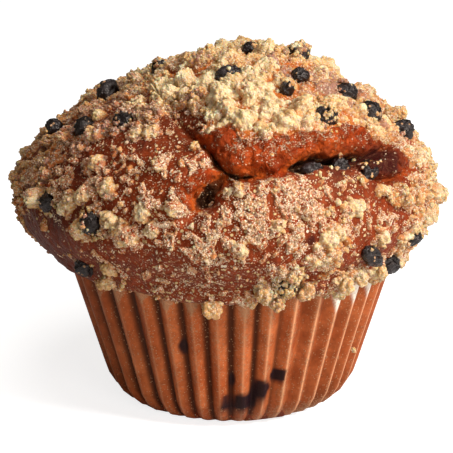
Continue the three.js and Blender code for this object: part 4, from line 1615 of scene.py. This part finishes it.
class MuffinColours(bpy.types.PropertyGroup):
    crust: colour_property("Crust", "Baked crust", (120, 42, 18))
    crust_light: colour_property("Light crust", "Crust where it is palest", (144, 57, 25))
    # Browned crust, and painted shade on the left flank and in the valley beside the crown.
    crust_browned_and_shaded: colour_property("Dark crust", "Crust where it is browned most", (94, 34, 16))
    crust_deep: colour_property("Deep crust", "Fine hollows of the crust", (64, 22, 10))
    torn: colour_property("Torn crust", "Glossy wall of a crack", (150, 50, 16))
    torn_light: colour_property("Light torn crust", "Palest part of a crack's wall", (184, 82, 28))
    torn_deep: colour_property("Deep torn crust", "Pores of a crack's wall", (96, 26, 8))
    juice: colour_property("Juice", "Crust that a berry has stained", (58, 18, 16))
    # Painted shade at the bottom of deep cracks.
    crack: colour_property("Crack", "Bottom of a crack", (36, 14, 6))
    dust: colour_property("Sugar dust", "Cinnamon sugar that lies on the crust", (184, 140, 102))
    sugar: colour_property("Sugar", "Sugar grains", (226, 206, 178))
    streusel: colour_property("Streusel", "Streusel crumbs", (196, 166, 116))
    streusel_pale: colour_property("Pale streusel", "Palest streusel", (220, 202, 162))
    streusel_golden: colour_property("Golden streusel", "Buttery streusel", (196, 148, 92))
    streusel_brown: colour_property("Brown streusel", "Toasted streusel", (150, 110, 92))
    # Painted shade in the streusel's hollows and between its crumbs.
    streusel_hollow_shade: colour_property("Streusel hollows", "Between the crumbs", (168, 92, 40))
    berry: colour_property("Berry", "Skin of the baked berries", (12, 7, 7))
    bloom: colour_property("Bloom", "Bloom on the berries", (40, 32, 34))
    paper: colour_property("Paper", "Case soaked with fat", (172, 80, 38))
    paper_light: colour_property("Light paper", "Paler parts of the case", (202, 108, 60))
    # Fat-soaked blotches and fibres, and painted shade in the folds and on the left of the case.
    paper_soak_and_shade: colour_property("Paper folds", "Folds of the case", (66, 28, 14))
    # Painted highlight along the ridges of the case.
    paper_ridge_highlight: colour_property("Paper ridges", "Rubbed ridges of the case", (222, 156, 112))
    paper_dry: colour_property("Dry paper", "Dry edge of the case", (238, 226, 208))
    stain: colour_property("Berry stain", "Juice that soaked through", (26, 12, 20))


class MuffinSizes(bpy.types.PropertyGroup):
    pleat_depth: FloatProperty(
        name="Pleat depth", description="From a pleat's ridge to its valley",
        default=1.9 * MM, min=0, unit="LENGTH", subtype="DISTANCE",
    )
    paper_thickness: FloatProperty(
        name="Paper thickness", description="Wall of the case",
        default=0.4 * MM, min=0, unit="LENGTH", subtype="DISTANCE",
    )
    lump_count: IntProperty(
        name="Lumps", description="Streusel lumps of 2 to 6 mm", default=120, min=50, max=155,
    )
    crumb_count: IntProperty(
        name="Crumbs", description="Streusel crumbs of 1 to 2 mm", default=1400, min=1, max=1500,
    )
    grain_count: IntProperty(
        name="Grains", description="Streusel grains under 1 mm", default=7200, min=1, max=9900,
    )
    sugar_count: IntProperty(
        name="Sugar grains", description="Coarse sugar grains", default=24000, min=5, max=24000,
    )


class MUFFIN_PT_panel(bpy.types.Panel):
    """Lists the pieces of the muffin"""

    bl_label = "Muffin"
    bl_idname = "MUFFIN_PT_panel"
    bl_space_type = "VIEW_3D"
    bl_region_type = "UI"
    bl_category = "Muffin"

    def draw(self, context):
        layout = self.layout
        for operator in OPERATORS:
            layout.operator(operator.bl_idname)
        for group in (context.scene.muffin_sizes, context.scene.muffin_colours):
            for name in group.bl_rna.properties.keys():
                if name not in ("rna_type", "name"):
                    layout.prop(group, name)


OPERATORS = [
    MUFFIN_OT_cake, MUFFIN_OT_pressed_streusel, MUFFIN_OT_berries, MUFFIN_OT_paper_case,
    MUFFIN_OT_streusel, MUFFIN_OT_sugar, MUFFIN_OT_stage,
]
CLASSES = [MuffinColours, MuffinSizes, *OPERATORS, MUFFIN_PT_panel]


def register():
    for cls in CLASSES:
        bpy.utils.register_class(cls)
    bpy.types.Scene.muffin_colours = PointerProperty(type=MuffinColours)
    bpy.types.Scene.muffin_sizes = PointerProperty(type=MuffinSizes)


def unregister():
    del bpy.types.Scene.muffin_colours
    del bpy.types.Scene.muffin_sizes
    for cls in reversed(CLASSES):
        bpy.utils.unregister_class(cls)


def main():
    register()
    bpy.ops.muffin.cake()
    bpy.ops.muffin.pressed_streusel()
    bpy.ops.muffin.berries()
    bpy.ops.muffin.paper_case()
    bpy.ops.muffin.streusel()
    bpy.ops.muffin.sugar()
    bpy.ops.muffin.stage()


if __name__ == "__main__":
    main()
